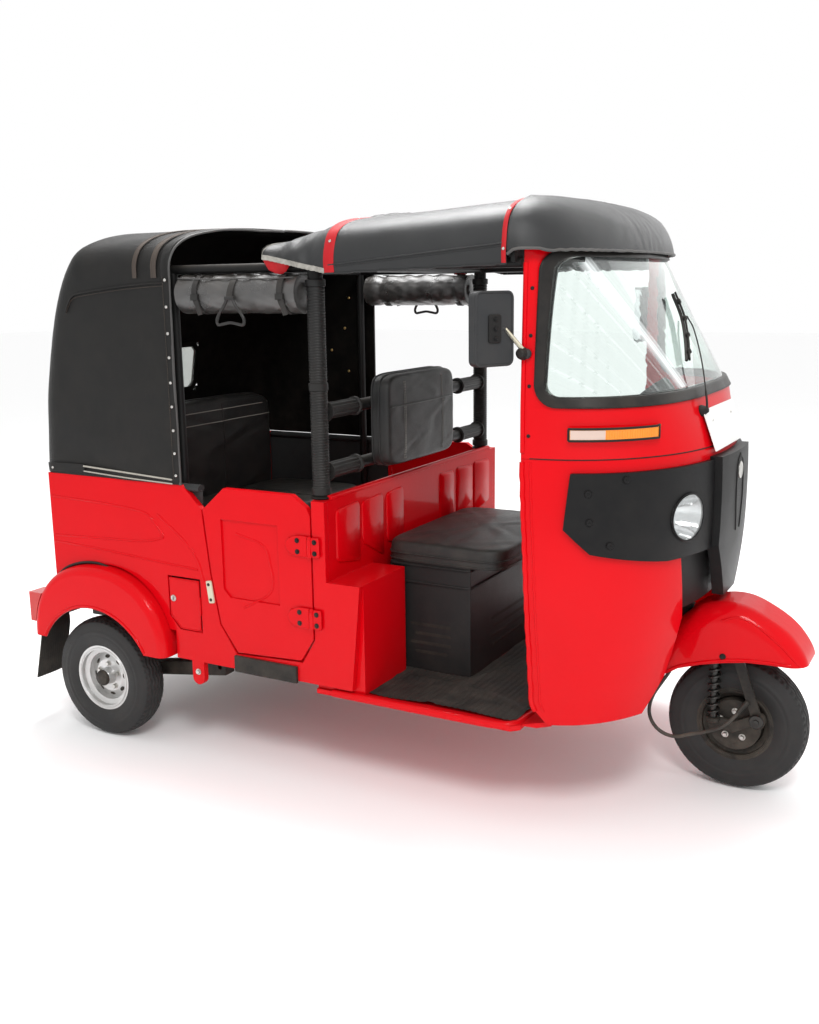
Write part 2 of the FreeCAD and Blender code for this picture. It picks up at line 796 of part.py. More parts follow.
for side in (-1, 1):
    start = side * s.lid_hinge_y - s.lid_hinge_length / 2
    strap = box((s.lid_hinge_x, start, s.lid_top_z - s.lid_strap_height),
                (s.lid_hinge_x + s.lid_strap_depth, start + s.lid_hinge_length, s.lid_top_z))
    lid = lid.fuse(knuckle(start, s.lid_hinge_length, s.lid_top_z - s.lid_strap_height)).fuse(strap)
    for end in (start - s.hinge_gap - s.lid_knuckle_length, start + s.lid_hinge_length + s.hinge_gap):
        lug = box((s.lid_hinge_x, end, s.lid_hinge_z + s.hinge_gap),
                  (s.lid_hinge_x + s.lid_strap_depth, end + s.lid_knuckle_length,
                  s.lid_top_z + s.lid_strap_height))
        tail = tail.fuse(knuckle(end, s.lid_knuckle_length, s.lid_top_z + s.lid_strap_height)).fuse(lug)
free_form("engine_lid", lid.removeSplitter())

# Rear bumper on two brackets, with the holes of the rear number plate
bumper = new_body("rear_bumper")
feature(bumper, "Pad", draw(bumper, "beam", "YZ_Plane", [
    ("-bumper_half_width", "bumper_z - bumper_height / 2"),
    ("bumper_half_width", "bumper_z - bumper_height / 2"),
    ("bumper_half_width", "bumper_z + bumper_height / 2"),
    ("-bumper_half_width", "bumper_z + bumper_height / 2")], "bumper_rear_x"), "bumper_wall")
for side, sign in SIDES.items():
    centre = "-frame_rail_y" if sign < 0 else "frame_rail_y"
    bracket = draw(bumper, f"bracket_{side}", "YZ_Plane", [
        (f"{centre} - frame_rail_width / 2", "frame_rail_top_z + seat_fit"),
        (f"{centre} + frame_rail_width / 2", "frame_rail_top_z + seat_fit"),
        (f"{centre} + frame_rail_width / 2", "bumper_z"), (f"{centre} - frame_rail_width / 2", "bumper_z")],
        "bumper_rear_x + bumper_wall / 2")
    feature(bumper, "Pad", bracket, "frame_rear_x + overrun - bumper_rear_x - bumper_wall / 2")
holes = circles(bumper, "plate_holes", "YZ_Plane",
    [("-plate_hole_spacing / 2", "bumper_z"), ("plate_hole_spacing / 2", "bumper_z")],
                "plate_hole_radius", "bumper_rear_x")
feature(bumper, "Pocket", holes, "bumper_wall + overrun", reverse=True)

# Rear fenders: a blister with a rounded outer edge, open over the wheel
def fender_outline(inset, y):
    """The side view of the fender, as a fair arch over a straight foot."""
    length, rise = s.fender_half_length - inset, s.fender_height - inset
    points = []
    for step in range(-6, 7):
        angle = math.radians(90 * step / 6)
        across = math.copysign(abs(math.sin(angle)) ** (2 / s.cab_power), step)
        up = math.cos(angle) ** (2 / s.cab_power) if abs(step) < 6 else 0
        points.append(V(s.fender_centre_x + length * across, y, s.fender_base_z + rise * up))
    curve = Part.BSplineCurve()
    curve.interpolate(points)
    foot = [V(*points[-1]), V(points[-1].x, y, s.fender_base_z - s.overrun),
        V(points[0].x, y, s.fender_base_z - s.overrun), V(*points[0])]
    return Part.Wire([curve.toShape()] + Part.makePolygon(foot).Edges)


def crest_edges(solid, y_limit):
    """The upper edges that lie outside of a side plane."""
    upper = s.fender_base_z + s.fender_height / 2
    return [e for e in solid.Edges if e.BoundBox.YMax < y_limit and e.BoundBox.ZMax > upper]


outer = Part.Face(fender_outline(0, -s.fender_inner_y)).extrude(V(0, s.fender_inner_y - s.fender_face_y, 0))
outer = outer.makeFillet(s.fender_edge_radius, crest_edges(outer, -s.fender_face_y + s.edge_test))
inner = Part.Face(fender_outline(s.fender_wall, -s.fender_inner_y + s.overrun)).extrude(
    V(0, s.fender_inner_y - s.fender_face_y - s.overrun + s.fender_wall, 0))
inner = inner.makeFillet(s.fender_edge_radius - s.fender_wall,
    crest_edges(inner, -s.fender_face_y + s.fender_wall + s.edge_test))
fender = outer.cut(inner)
fender = fender.cut(rod((REAR_AXLE_X, -s.fender_inner_y, s.tyre_radius),
    (REAR_AXLE_X, -s.fender_face_y - s.overrun, s.tyre_radius), s.fender_opening_radius))
far = s.fender_half_length + s.overrun
fender = fender.cut(box((s.fender_centre_x - far, -s.fender_face_y - s.overrun, 0),
    (s.fender_centre_x + far, 0, s.fender_base_z)))
free_form("rear_fenders", both(fender))

# Mud flaps: upright behind the fender's rear wall, then leaning back below it
flap_top_x = s.fender_centre_x - s.fender_half_length + s.mudflap_inset
flap_y = -s.fender_face_y + s.fender_edge_radius + s.seat_fit
flap_side = [(flap_top_x, s.mudflap_top_z), (flap_top_x, s.fender_base_z),
    (flap_top_x - s.mudflap_lean, s.mudflap_bottom_z)]
flap_side += [(x + s.mudflap_wall, z) for x, z in reversed(flap_side)]
free_form("mudflaps", both(prism([(x, flap_y, z) for x, z in flap_side], (0, s.mudflap_width, 0))))

# Tail lamps on the rear slopes of the fenders, which also bound the rear panel
lamp = box((s.tail_lamp_rear_x, -s.tail_lamp_inner_y - s.tail_lamp_width, s.tail_lamp_low_z),
           (s.tail_x, -s.tail_lamp_inner_y, s.tail_lamp_low_z + s.tail_lamp_height))
fender_block = Part.Face(fender_outline(-s.seat_fit, -s.fender_inner_y)).extrude(V(0,
    s.fender_inner_y - s.fender_face_y, 0))
free_form("tail_lamps", both(lamp.cut(fender_block)))
free_form("rear_panel", tail.cut(fender_block).cut(mirrored(fender_block)).removeSplitter())

# Partition behind the driver, with a box step at each side of the seat
partition = new_body("partition")
feature(partition, "Pad", draw(partition, "wall", "YZ_Plane", [
    ("-(body_half_width - body_wall - seat_fit)", "floor_top_z + seat_fit"),
    ("body_half_width - body_wall - seat_fit", "floor_top_z + seat_fit"),
    ("body_half_width - body_wall - seat_fit", "partition_top_z"),
    ("-(body_half_width - body_wall - seat_fit)", "partition_top_z")],
    "post_front_x - partition_wall"), "partition_wall")
for side, sign in SIDES.items():
    lead = "-" if sign < 0 else ""
    step = draw(partition, f"box_{side}", "YZ_Plane", [
        (f"{lead}(body_half_width - body_wall - seat_fit)", "floor_top_z + seat_fit"),
        (f"{lead}(side_box_inner_y)", "floor_top_z + seat_fit"),
        (f"{lead}(side_box_inner_y)", "side_box_top_z"),
        (f"{lead}(body_half_width - body_wall - seat_fit)", "side_box_top_z")],
        "post_front_x - partition_wall / 2")
    feature(partition, "Pad", step, "side_box_front_x - post_front_x + partition_wall / 2")

# Floors: the driver's pan with its rolled rim, the passenger's floor and later the toe board
floor = doc.addObject("PartDesign::Body", "driver_floor")
rim_half = "body_half_width - floor_rim / 2"
feature(floor, "Pad", draw(floor, "sheet", "XY_Plane", [
    ("post_front_x - partition_wall", f"-({rim_half})"), ("floor_front_x - floor_rim", f"-({rim_half})"),
    ("floor_front_x", f"-({rim_half}) + floor_rim"), ("floor_front_x", f"{rim_half} - floor_rim"),
    ("floor_front_x - floor_rim", rim_half), ("post_front_x - partition_wall", rim_half)],
    "floor_top_z - floor_wall"), "floor_wall")
inner_half = "body_half_width - body_wall - seat_fit"
rear_floor = primitive("Box", "rear_floor",
    Length="post_front_x - partition_wall - seat_fit - hood_pillar_x + floor_rim",
    Width=f"({inner_half}) * 2",
                       Height="floor_wall", x="hood_pillar_x - floor_rim", y=f"-({inner_half})",
                       z="passenger_floor_z - floor_wall")


# Cab shell: level outlines, each a rounded nose on a straight rear edge
def level(z, rear_x, half_width, nose_x, power, tail=0):
    """A closed plan outline of the cab; a tail carries its sides straight on to the rear."""
    points = []
    for step in range(-8, 9):
        angle = math.radians(90 * step / 8)
        across = math.copysign(abs(math.sin(angle)) ** (2 / power), step)
        ahead = math.cos(angle) ** (2 / power) if abs(step) < 8 else 0
        points.append(V(rear_x + (nose_x - rear_x) * ahead, half_width * across, z))
    curve = Part.BSplineCurve()
    curve.interpolate(points)
    back = [points[-1], V(rear_x - tail, half_width, z), V(rear_x - tail, -half_width, z), points[0]]
    return Part.Wire([curve.toShape()] + Part.makePolygon(back if tail else [points[-1], points[0]]).Edges)


LOWER_LEVELS = [(s.apron_bottom_z - s.overrun, s.cab_half_width, s.nose_low_x, s.cab_power),
                (s.nose_mid_z, s.cab_half_width, s.nose_mid_x, s.cab_power),
                (s.waist_z, s.waist_half_width, s.nose_waist_x, s.cab_power)]
UPPER_LEVELS = [(s.waist_z + s.seat_fit, s.waist_half_width, s.nose_waist_x, s.cab_power),
                (s.glass_low_z - s.waist_gap, s.waist_half_width, s.nose_glass_x, s.glass_power),
                (s.glass_high_z + s.waist_gap, s.roof_half_width, s.nose_roof_x, s.roof_power),
                (s.cab_top_z, s.roof_half_width, s.nose_roof_x - s.cab_wall, s.roof_power)]


def shell_solid(levels, offset, tail=0, ruled=False):
    """The solid inside the cab's outer surface moved out by an offset."""
    wires = [level(z, s.cab_rear_x, half + offset, nose + offset, power, tail) for z, half, nose,
        power in levels]
    if not ruled:
        return Part.makeLoft(wires, True, False)
    return joined([Part.makeLoft([low, high], True, False) for low, high in zip(wires, wires[1:])])


def shell(levels, outside, inside, ruled=False):
    return shell_solid(levels, outside, 0, ruled).cut(shell_solid(levels, inside, s.overrun, ruled))


apron = shell(LOWER_LEVELS, 0, -s.cab_wall)
side_trim = prism([(s.cab_rear_x - s.overrun, -s.cab_half_width * 2, 0),
    (s.cab_rear_x - s.overrun, -s.cab_half_width * 2, s.waist_z),
                   (s.cab_rear_x, -s.cab_half_width * 2, s.waist_z),
                   (s.apron_knee_x, -s.cab_half_width * 2, s.apron_knee_z),
                   (s.apron_tip_x, -s.cab_half_width * 2, s.apron_bottom_z),
                   (s.apron_tip_x, -s.cab_half_width * 2, 0)], (0, s.cab_half_width * 4, 0))
apron = apron.cut(side_trim)
apron = apron.cut(box((s.apron_tip_x, -s.cab_half_width * 2, 0),
    (s.nose_mid_x * 2, s.cab_half_width * 2, s.apron_bottom_z)))
half_arch = [(s.arch_foot_half_width, s.apron_bottom_z - s.overrun), (s.arch_low_half_width, s.arch_low_z),
             (s.arch_waist_half_width, s.arch_waist_z), (s.arch_top_half_width, s.arch_top_z)]
arch_points = [(s.apron_tip_x, y, z) for y, z in half_arch] + [(s.apron_tip_x, -y, z) for y,
    z in reversed(half_arch)]
wheel_arch = prism(arch_points, (s.nose_mid_x, 0, 0))
free_form("apron", apron.cut(wheel_arch))

cowl = shell(UPPER_LEVELS, 0, -s.cab_wall, True)


def glass_block(inset):
    """The windscreen opening seen from the side, moved in by an inset, right across the cab."""
    low, high = (s.glass_rear_x + inset, s.glass_low_z + inset), (s.nose_waist_x * 2,
        s.glass_high_z - inset)
    block = box((low[0], -s.cab_half_width * 2, low[1]), (high[0], s.cab_half_width * 2, high[1]))
    corners = [e for e in block.Edges if along(e, V(0, 1, 0)) and e.BoundBox.XMax < low[0] + s.edge_test]
    return block.makeFillet(s.glass_corner - inset, corners)


free_form("cowl_upper", cowl.cut(glass_block(0)))
seal = shell(UPPER_LEVELS, s.seal_proud, -s.cab_wall,
    True).common(glass_block(0)).cut(glass_block(s.seal_width))
free_form("windscreen_seal", seal)
glass = shell(UPPER_LEVELS, -s.glass_wall, -s.glass_wall * 2, True).common(glass_block(s.seal_width))
free_form("windscreen", glass)

# Nose: black bezels around the headlamps, and the fairing between them
def lamp_bore(radius, back):
    return rod((s.lamp_face_x - back, -s.lamp_y, s.lamp_z), (s.nose_mid_x * 2, -s.lamp_y, s.lamp_z), radius)


bezel_side = prism([(s.bezel_rear_x, -s.cab_half_width * 2, s.bezel_bottom_z + s.lamp_radius),
    (s.bezel_rear_x + s.bezel_proud, -s.cab_half_width * 2, s.bezel_top_z),
                    (s.nose_mid_x * 2, -s.cab_half_width * 2, s.bezel_top_z),
                    (s.nose_mid_x * 2, -s.cab_half_width * 2, s.arch_top_z),
                    (s.nose_mid_x - s.lamp_radius, -s.cab_half_width * 2, s.arch_top_z),
                    (s.bezel_rear_x + s.lamp_radius, -s.cab_half_width * 2, s.bezel_bottom_z)],
                   (0, s.cab_half_width * 2 - s.bezel_inner_y, 0))
bezel = shell(LOWER_LEVELS, s.bezel_proud,
    s.seat_fit).common(bezel_side).cut(lamp_bore(s.lamp_radius + s.seat_fit, s.lamp_depth))
lamp_solid = lamp_bore(s.lamp_radius, s.lamp_depth).common(shell_solid(LOWER_LEVELS,
    s.bezel_proud + s.lamp_proud))
apron_piece = next(piece for piece in pieces if piece.Label == "apron")
bores = lamp_bore(s.lamp_radius + s.seat_fit, s.lamp_depth)
apron_piece.Shape = apron_piece.Shape.cut(bores).cut(mirrored(bores))
free_form("headlamps", both(lamp_solid))

shield = prism([(s.apron_tip_x, -s.fairing_half_width, s.fairing_top_z),
    (s.apron_tip_x, s.fairing_half_width, s.fairing_top_z),
                (s.apron_tip_x, s.fairing_half_width, s.fairing_shoulder_z),
                (s.apron_tip_x, s.fairing_low_half_width, s.fairing_low_z),
                (s.apron_tip_x, -s.fairing_low_half_width, s.fairing_low_z),
                (s.apron_tip_x, -s.fairing_half_width, s.fairing_shoulder_z)],
               (s.nose_mid_x, 0, 0))
fairing = shell(LOWER_LEVELS, s.fairing_proud, s.seat_fit).common(shield)
recess = [(s.arch_waist_half_width, s.arch_waist_z + s.overrun), (s.arch_top_half_width, s.arch_top_z)]
inner_panel = shell(LOWER_LEVELS, -s.cab_wall - s.seat_fit,
    -s.cab_wall - s.seat_fit - s.bezel_proud).common(prism(
    [(s.apron_tip_x, y, z) for y, z in recess] + [(s.apron_tip_x, -y, z) for y, z in reversed(recess)],
    (s.nose_mid_x, 0, 0)))
free_form("nose_fairing", fairing)
free_form("nose_trim", Part.makeCompound([bezel, mirrored(bezel), inner_panel]))

# Blank number plate, leaning back, and the front indicators
plate_foot = "nose_waist_x + plate_stand"
slab("number_plate", "XZ_Plane", [
    (plate_foot, "plate_z - plate_height / 2"),
    (f"{plate_foot} + plate_wall", "plate_z - plate_height / 2"),
    (f"{plate_foot} + plate_wall - plate_lean", "plate_z + plate_height / 2"),
    (f"{plate_foot} - plate_lean", "plate_z + plate_height / 2")],
    "-plate_width / 2", "plate_width")
lens = shell(UPPER_LEVELS[:2], s.indicator_proud, s.seat_fit).common(
    box((s.indicator_rear_x, -s.cab_half_width * 2, s.indicator_z - s.indicator_height / 2),
        (s.indicator_rear_x + s.indicator_length, 0, s.indicator_z + s.indicator_height / 2)))
free_form("front_indicators", both(lens))

# Toe board: closes the cab ahead of the floor, bent up behind the wheel
TOE_X_SHARES = (0, 0.26, 0.55, 0.72, 0.86)
TOE_Z_SHARES = (0, 0.04, 0.52, 0.78, 1)
toe_run, toe_rise = s.arch_toe_x - s.floor_front_x, s.arch_top_z + s.overrun - s.floor_top_z
bends = [(s.floor_front_x + s.seat_fit + x * toe_run, s.floor_top_z - s.floor_wall + z * toe_rise) for x,
    z in zip(TOE_X_SHARES, TOE_Z_SHARES)]
toe_points = [(x, -s.cab_half_width, z) for x,
    z in bends] + [(x, -s.cab_half_width, z + s.floor_wall) for x, z in reversed(bends)]
toe_board = prism(toe_points, (0, s.cab_half_width * 2, 0)).common(
    shell_solid(LOWER_LEVELS, -s.cab_wall - s.seat_fit, s.overrun))
rake = math.radians(s.rake)
AXIS = V(-math.sin(rake), 0, math.cos(rake))
HEAD = V(s.head_x, 0, s.head_z)


def on_axis(height):
    """The point on the steering axis at a distance above the head's reference point."""
    return HEAD + AXIS * height


def column(low, high, radius):
    return Part.makeCylinder(radius, high - low, on_axis(low), AXIS)


toe_board = toe_board.cut(column(s.head_low, s.column_top, s.head_radius + s.seat_fit))
toe = doc.addObject("Part::Feature", "toe_panel")
toe.Shape = toe_board
group("floor_pan", [floor, rear_floor, toe])

# Chassis: two box rails, cross members, the backbone and the steering head
def rail_box(x0, x1, y0, y1, z1):
    return box((x0, y0, z1 - s.frame_rail_height), (x1, y1, z1))


half_rail = s.frame_rail_width / 2
top_z = s.frame_rail_top_z - s.seat_fit
members = [rail_box(s.frame_rear_x, s.frame_front_x, side * s.frame_rail_y - half_rail,
    side * s.frame_rail_y + half_rail, top_z) for side in (-1, 1)]
for x in (s.frame_rear_x, s.arm_pivot_x - half_rail, s.post_front_x, s.frame_front_x - s.frame_rail_width):
    members.append(rail_box(x, x + s.frame_rail_width, -s.frame_rail_y, s.frame_rail_y, top_z))
neck = on_axis(s.backbone_head)
knees = [(s.frame_front_x - s.overrun, 0, top_z - s.frame_rail_height / 2),
    (s.backbone_knee_x, 0, top_z - s.frame_rail_height / 2),
         (s.backbone_rise_x, 0, s.backbone_rise_z), tuple(neck)]
members += [rod(start, end, s.backbone_radius) for start, end in zip(knees, knees[1:])]
members += [Part.makeSphere(s.backbone_radius, V(*knee)) for knee in knees[1:3]]
members.append(column(s.head_low, s.head_high, s.head_radius))
for side in (-1, 1):
    members.append(rod((s.arm_pivot_x, side * s.frame_rail_y, s.arm_pivot_z),
        (s.arm_pivot_x, side * (s.arm_y - s.arm_width / 2 - s.seat_fit), s.arm_pivot_z), s.axle_radius))
    members.append(box((s.shock_x - half_rail, side * s.frame_rail_y - half_rail, top_z - half_rail),
        (s.shock_x + half_rail, side * s.frame_rail_y + half_rail, s.shock_top_z + half_rail)))
members.append(box((s.shock_x - half_rail, -s.fender_inner_y + s.seat_fit, s.shock_top_z),
    (s.shock_x + half_rail, s.fender_inner_y - s.seat_fit, s.shock_top_z + half_rail)))
chassis = joined(members).cut(column(s.head_low - s.overrun, s.head_high + s.overrun,
    s.column_radius + s.running_fit))
free_form("chassis_frame", chassis)

# Engine: one block between the rear wheels
group("engine", [primitive("Box", "engine_block", Length="engine_length", Width="engine_width",
    Height="engine_height",
                           x="frame_rear_x + frame_rail_width + seat_fit", y="-engine_width / 2",
                           z="engine_bottom_z")])

# Rear suspension: trailing arms with their stub axles, and spring dampers
arm_top = s.arm_pivot_z + s.arm_height / 2
arm = prism([(s.arm_pivot_x + s.arm_pivot_radius, -s.arm_y - s.arm_width / 2,
    s.arm_pivot_z - s.arm_height / 2),
             (s.arm_pivot_x + s.arm_pivot_radius, -s.arm_y - s.arm_width / 2, arm_top),
             (REAR_AXLE_X + s.arm_height, -s.arm_y - s.arm_width / 2, s.tyre_radius + s.arm_height / 2),
             (REAR_AXLE_X - s.arm_height, -s.arm_y - s.arm_width / 2, s.tyre_radius + s.arm_height / 2),
             (REAR_AXLE_X - s.arm_height, -s.arm_y - s.arm_width / 2, s.tyre_radius - s.arm_height / 2),
             (REAR_AXLE_X, -s.arm_y - s.arm_width / 2, s.tyre_radius - s.arm_height / 2)],
             (0, s.arm_width, 0))
hub_end_y = -s.rear_track / 2 - s.rim_disc_offset - s.hub_reach
stub = rod((REAR_AXLE_X, -s.arm_y, s.tyre_radius), (REAR_AXLE_X, hub_end_y + s.seat_fit, s.tyre_radius),
    s.axle_radius)
shock = rod((s.shock_x, -s.arm_y, s.arm_pivot_z - s.arm_height / 4),
    (s.shock_x, -s.arm_y, s.shock_top_z - s.seat_fit), s.shock_radius)
pin_hole = rod((s.arm_pivot_x, 0, s.arm_pivot_z), (s.arm_pivot_x, -s.body_half_width, s.arm_pivot_z),
    s.arm_bore_radius)
free_form("rear_suspension", both(joined([arm, stub, shock]).cut(pin_hole)))

# Front fork: column, crown, one flat leg beside the wheel and the handlebar
crown_z = on_axis(-s.crown_drop).z
crown_plate = box((s.crown_rear_x, -s.leg_y - s.leg_wall / 2, crown_z - s.crown_wall / 2),
                  (s.crown_front_x, s.crown_left_y, crown_z + s.crown_wall / 2))
tab_y = s.front_fender_half_width - s.front_fender_wall - s.seat_fit
crown_tab = box((s.crown_tab_x, -tab_y, crown_z - s.crown_wall / 2),
    (s.crown_front_x, tab_y, crown_z + s.crown_wall / 2))
leg_low_y = -s.leg_y - s.leg_wall / 2
leg = prism([(s.pivot_x - s.leg_depth / 2, leg_low_y, s.pivot_z),
    (s.pivot_x + s.leg_depth / 2, leg_low_y, s.pivot_z),
             (s.leg_top_x + s.leg_depth / 2, leg_low_y, crown_z),
             (s.leg_top_x - s.leg_depth / 2, leg_low_y, crown_z)], (0, s.leg_wall, 0))
eye = rod((s.pivot_x, leg_low_y - s.link_wall / 2, s.pivot_z),
    (s.pivot_x, -s.link_y - s.link_wall / 2 - s.seat_fit, s.pivot_z), s.pivot_radius)
stem = column(-s.crown_drop, s.column_top, s.column_radius)
grip_z = on_axis(s.handlebar_height)
bar = rod((grip_z.x, -s.handlebar_half_width, grip_z.z), (grip_z.x, s.handlebar_half_width, grip_z.z),
    s.handlebar_radius)
grips = [rod((grip_z.x, side * s.handlebar_half_width, grip_z.z),
    (grip_z.x, side * (s.handlebar_half_width - s.grip_length), grip_z.z), s.grip_radius)
         for side in (-1, 1)]

# Link below the wheel's centre, with the stub axle and the spring's lower seat
link_low_y = -s.link_y - s.link_wall / 2
link = prism([(s.pivot_x, link_low_y, s.pivot_z + s.link_depth / 2),
    (s.front_axle_x, link_low_y, s.tyre_radius + s.link_depth / 2),
              (s.spring_x - s.spring_radius, link_low_y, s.spring_low_z - s.spring_wire_radius),
              (s.spring_x - s.spring_radius, link_low_y, s.spring_low_z - s.link_depth),
              (s.front_axle_x, link_low_y, s.tyre_radius - s.link_depth / 2),
              (s.pivot_x, link_low_y, s.pivot_z - s.link_depth / 2)], (0, s.link_wall, 0))
boss = rod((s.pivot_x, link_low_y, s.pivot_z), (s.pivot_x, link_low_y + s.link_wall, s.pivot_z),
    s.link_depth / 2)
stub_end_y = s.rim_disc_offset + s.hub_reach - s.seat_fit
front_stub = rod((s.front_axle_x, link_low_y, s.tyre_radius), (s.front_axle_x, stub_end_y, s.tyre_radius),
    s.axle_radius)
seat_z = s.spring_low_z - s.spring_wire_radius - s.seat_fit
spring_foot = rod((s.spring_x, -s.spring_y, seat_z - s.link_wall), (s.spring_x, -s.spring_y, seat_z),
    s.spring_radius + s.spring_wire_radius)
foot_web = box((s.spring_x - s.spring_radius, -s.spring_y, seat_z - s.link_wall),
    (s.spring_x + s.spring_radius, -s.link_y, seat_z))
free_form("front_link", joined([link, boss, front_stub, spring_foot, foot_web]))

# Coil spring: a round wire swept along a helix, with its damper inside
spring_top_z = crown_z - s.crown_wall / 2 - s.spring_wire_radius - s.seat_fit
helix = Part.makeHelix((spring_top_z - s.spring_low_z) / s.spring_turns, spring_top_z - s.spring_low_z,
    s.spring_radius)
wire_start = V(s.spring_radius, 0, 0)
wire = Part.Wire(Part.Circle(wire_start, V(0, 1, 0), s.spring_wire_radius).toShape())
coil = Part.Wire(helix.Edges).makePipeShell([wire], True, True)
coil.translate(V(s.spring_x, -s.spring_y, s.spring_low_z))
damper = rod((s.spring_x, -s.spring_y, seat_z + s.seat_fit),
    (s.spring_x, -s.spring_y, crown_z - s.crown_wall / 2 - s.seat_fit), s.damper_radius)
free_form("front_spring", Part.makeCompound([coil, damper]))

# Front fender: a side outline swept across, with rounded shoulders and ends
FENDER_SHARES = ((0, 0), (0.014, 0.458), (0.071, 0.638), (0.221, 0.885), (0.402, 0.996), (0.562, 0.988),
    (0.702, 0.896),
                 (0.862, 0.727), (0.955, 0.55), (1, 0.40), (0.985, 0.2))
HEM_SHARES = ((-0.1, 0.02), (0.02, 0.06), (0.14, 0.19), (0.30, 0.277), (0.46, 0.338), (0.614, 0.381),
    (0.767, 0.39), (1.1, 0.385))


def fender_point(share, y, inset=0):
    return V(s.front_fender_rear_x + inset + share[0] * (s.front_fender_length - inset * 2), y,
             s.front_fender_base_z + share[1] * (s.front_fender_height - inset))


def front_fender_solid(inset):
    """The fender's filled outer shape, moved in by an inset."""
    half = s.front_fender_half_width - inset
    points = [fender_point(share, -half, inset) for share in FENDER_SHARES]
    curve = Part.BSplineCurve()
    curve.interpolate(points)
    side = Part.Face(Part.Wire([curve.toShape(), Part.makeLine(points[-1], points[0])]))
    solid = side.extrude(V(0, half * 2, 0))
    upper = s.front_fender_base_z + s.front_fender_height / 2
    flat = [e for e in solid.Edges if e.BoundBox.YLength < s.edge_test]
    return solid.makeFillet(s.front_fender_round - inset, [e for e in flat if e.BoundBox.ZMax > upper])


hem = [fender_point(share, -s.front_fender_half_width * 2) for share in HEM_SHARES]
below = Part.makePolygon(hem + [V(hem[-1].x, hem[0].y, 0), V(hem[0].x, hem[0].y, 0), hem[0]])
below = Part.Face(below).extrude(V(0, s.front_fender_half_width * 4, 0))
front_fender = front_fender_solid(0).cut(front_fender_solid(s.front_fender_wall)).cut(below)
front_fender = front_fender.cut(column(-s.crown_drop, s.column_top, s.column_radius + s.moving_gap))
free_form("front_fender", front_fender)



# Brake hose: from a fitting under the crown, in a loose bow behind the wheel, to a fitting on the leg
def routed(points):
    """A path of straight runs joined by tangent arcs, each as large as its two runs allow."""
    edges, at = [], points[0]
    for before, corner, after in zip(points, points[1:], points[2:]):
        into, out = (corner - before).normalize(), (after - corner).normalize()
        turn = into.getAngle(out)
        reach = s.bend_share * min((corner - before).Length, (after - corner).Length)
        radius = reach / math.tan(turn / 2)
        middle = corner + (out - into).normalize() * (radius / math.cos(turn / 2) - radius)
        start, end = corner - into * reach, corner + out * reach
        edges += [Part.makeLine(at, start), Part.Arc(start, middle, end).toShape()]
        at = end
        print("hose bend", round(radius), "mm")
    return Part.Wire(edges + [Part.makeLine(at, points[-1])])


HOSE_SHARES = ((-0.807, -0.396, 2.029), (-0.884, -0.425, 1.778), (-1.019, -0.473, 1.556),
    (-1.135, -0.580, 1.343),
               (-1.155, -0.638, 1.092), (-1.010, -0.647, 0.879), (-0.758, -0.647, 0.812),
               (-0.517, -0.643, 0.918),
               (-0.256, -0.643, 1.005), (-0.005, -0.657, 1.159), (0.106, -0.546, 1.314))
hose_points = [V(s.front_axle_x + x * s.tyre_radius, y * s.tyre_radius, z * s.tyre_radius) for x, y,
    z in HOSE_SHARES]
hose_way = hose_points[1] - hose_points[0]
hose_path = routed(hose_points)
hose_face = Part.Wire(Part.Circle(hose_points[0], hose_way, s.hose_radius).toShape())
hose = hose_path.makePipeShell([hose_face], True, False)
print("hose length", round(hose_path.Length), "volume share",
    round(hose.Volume / (math.pi * s.hose_radius ** 2 * hose_path.Length), 3))
free_form("brake_hose", hose)
fittings = []
for end, beside in ((hose_points[0], hose_points[1]), (hose_points[-1], hose_points[-2])):
    fittings.append(rod(tuple(end), tuple(end + (end - beside).normalize() * s.hose_fitting_length),
        s.hose_fitting_radius))
free_form("front_fork", joined([stem, crown_plate, crown_tab, leg, eye, bar] + grips + fittings))

# Soft roof: arches across the vehicle, domed above their hems
def dome(x, half_width, hem_z, top_z, foot_z, power):
    """A closed upright outline: a dome on straight sides that end at the foot."""
    points = []
    for step in range(-8, 9):
        angle = math.radians(90 * step / 8)
        across = math.copysign(abs(math.sin(angle)) ** (2 / power), step)
        up = math.cos(angle) ** (2 / power) if abs(step) < 8 else 0
        points.append(V(x, half_width * across, hem_z + (top_z - hem_z) * up))
    curve = Part.BSplineCurve()
    curve.interpolate(points)
    foot = [points[-1], V(x, half_width, foot_z), V(x, -half_width, foot_z), points[0]]
    return Part.Wire([curve.toShape()] + Part.makePolygon(foot).Edges)


def canopy_solid(offset, rear_x, front_x, drop):
    """The canopy's filled shape between two stations, moved out by an offset, its foot dropped."""
    wires = []
    for x in (rear_x, front_x):
        share = (x - s.canopy_rear_x) / (s.canopy_front_x - s.canopy_rear_x)
        half, hem_z, top_z = (rear + share * (front - rear) for rear, front in (
            (s.canopy_rear_half_width, s.canopy_front_half_width),
            (s.canopy_rear_hem_z, s.canopy_front_hem_z),
            (s.canopy_rear_top_z, s.canopy_front_top_z)))
        wires.append(dome(x, half + offset, hem_z, top_z + offset, hem_z - drop, s.canopy_power))
    return Part.makeLoft(wires, True, True)


canopy = canopy_solid(0, s.canopy_rear_x, s.canopy_front_x, s.seat_fit).cut(
    canopy_solid(-s.canopy_wall, s.canopy_rear_x - s.overrun, s.canopy_front_x + s.overrun, s.overrun))

# Roof cap over the windscreen, its hem rising towards the front
CAP_SHARES = ((0, 1, 1), (0.35, 0.995, 0.97), (0.67, 0.95, 0.80), (0.86, 0.87, 0.58), (1, 0.73, 0.30))


def cap_solid(inset):
    """The cap's filled shape, moved in by an inset."""
    wires = []
    for rise, width, run in CAP_SHARES:
        rear_x = s.canopy_front_x + s.seat_fit
        wires.append(level(s.cap_low_z + rise * (s.cap_height - inset), rear_x,
            s.cap_half_width * width - inset,
                           rear_x + (s.cap_nose_x - rear_x) * run - inset, s.cab_power, inset))
    return Part.makeLoft(wires, True, False)


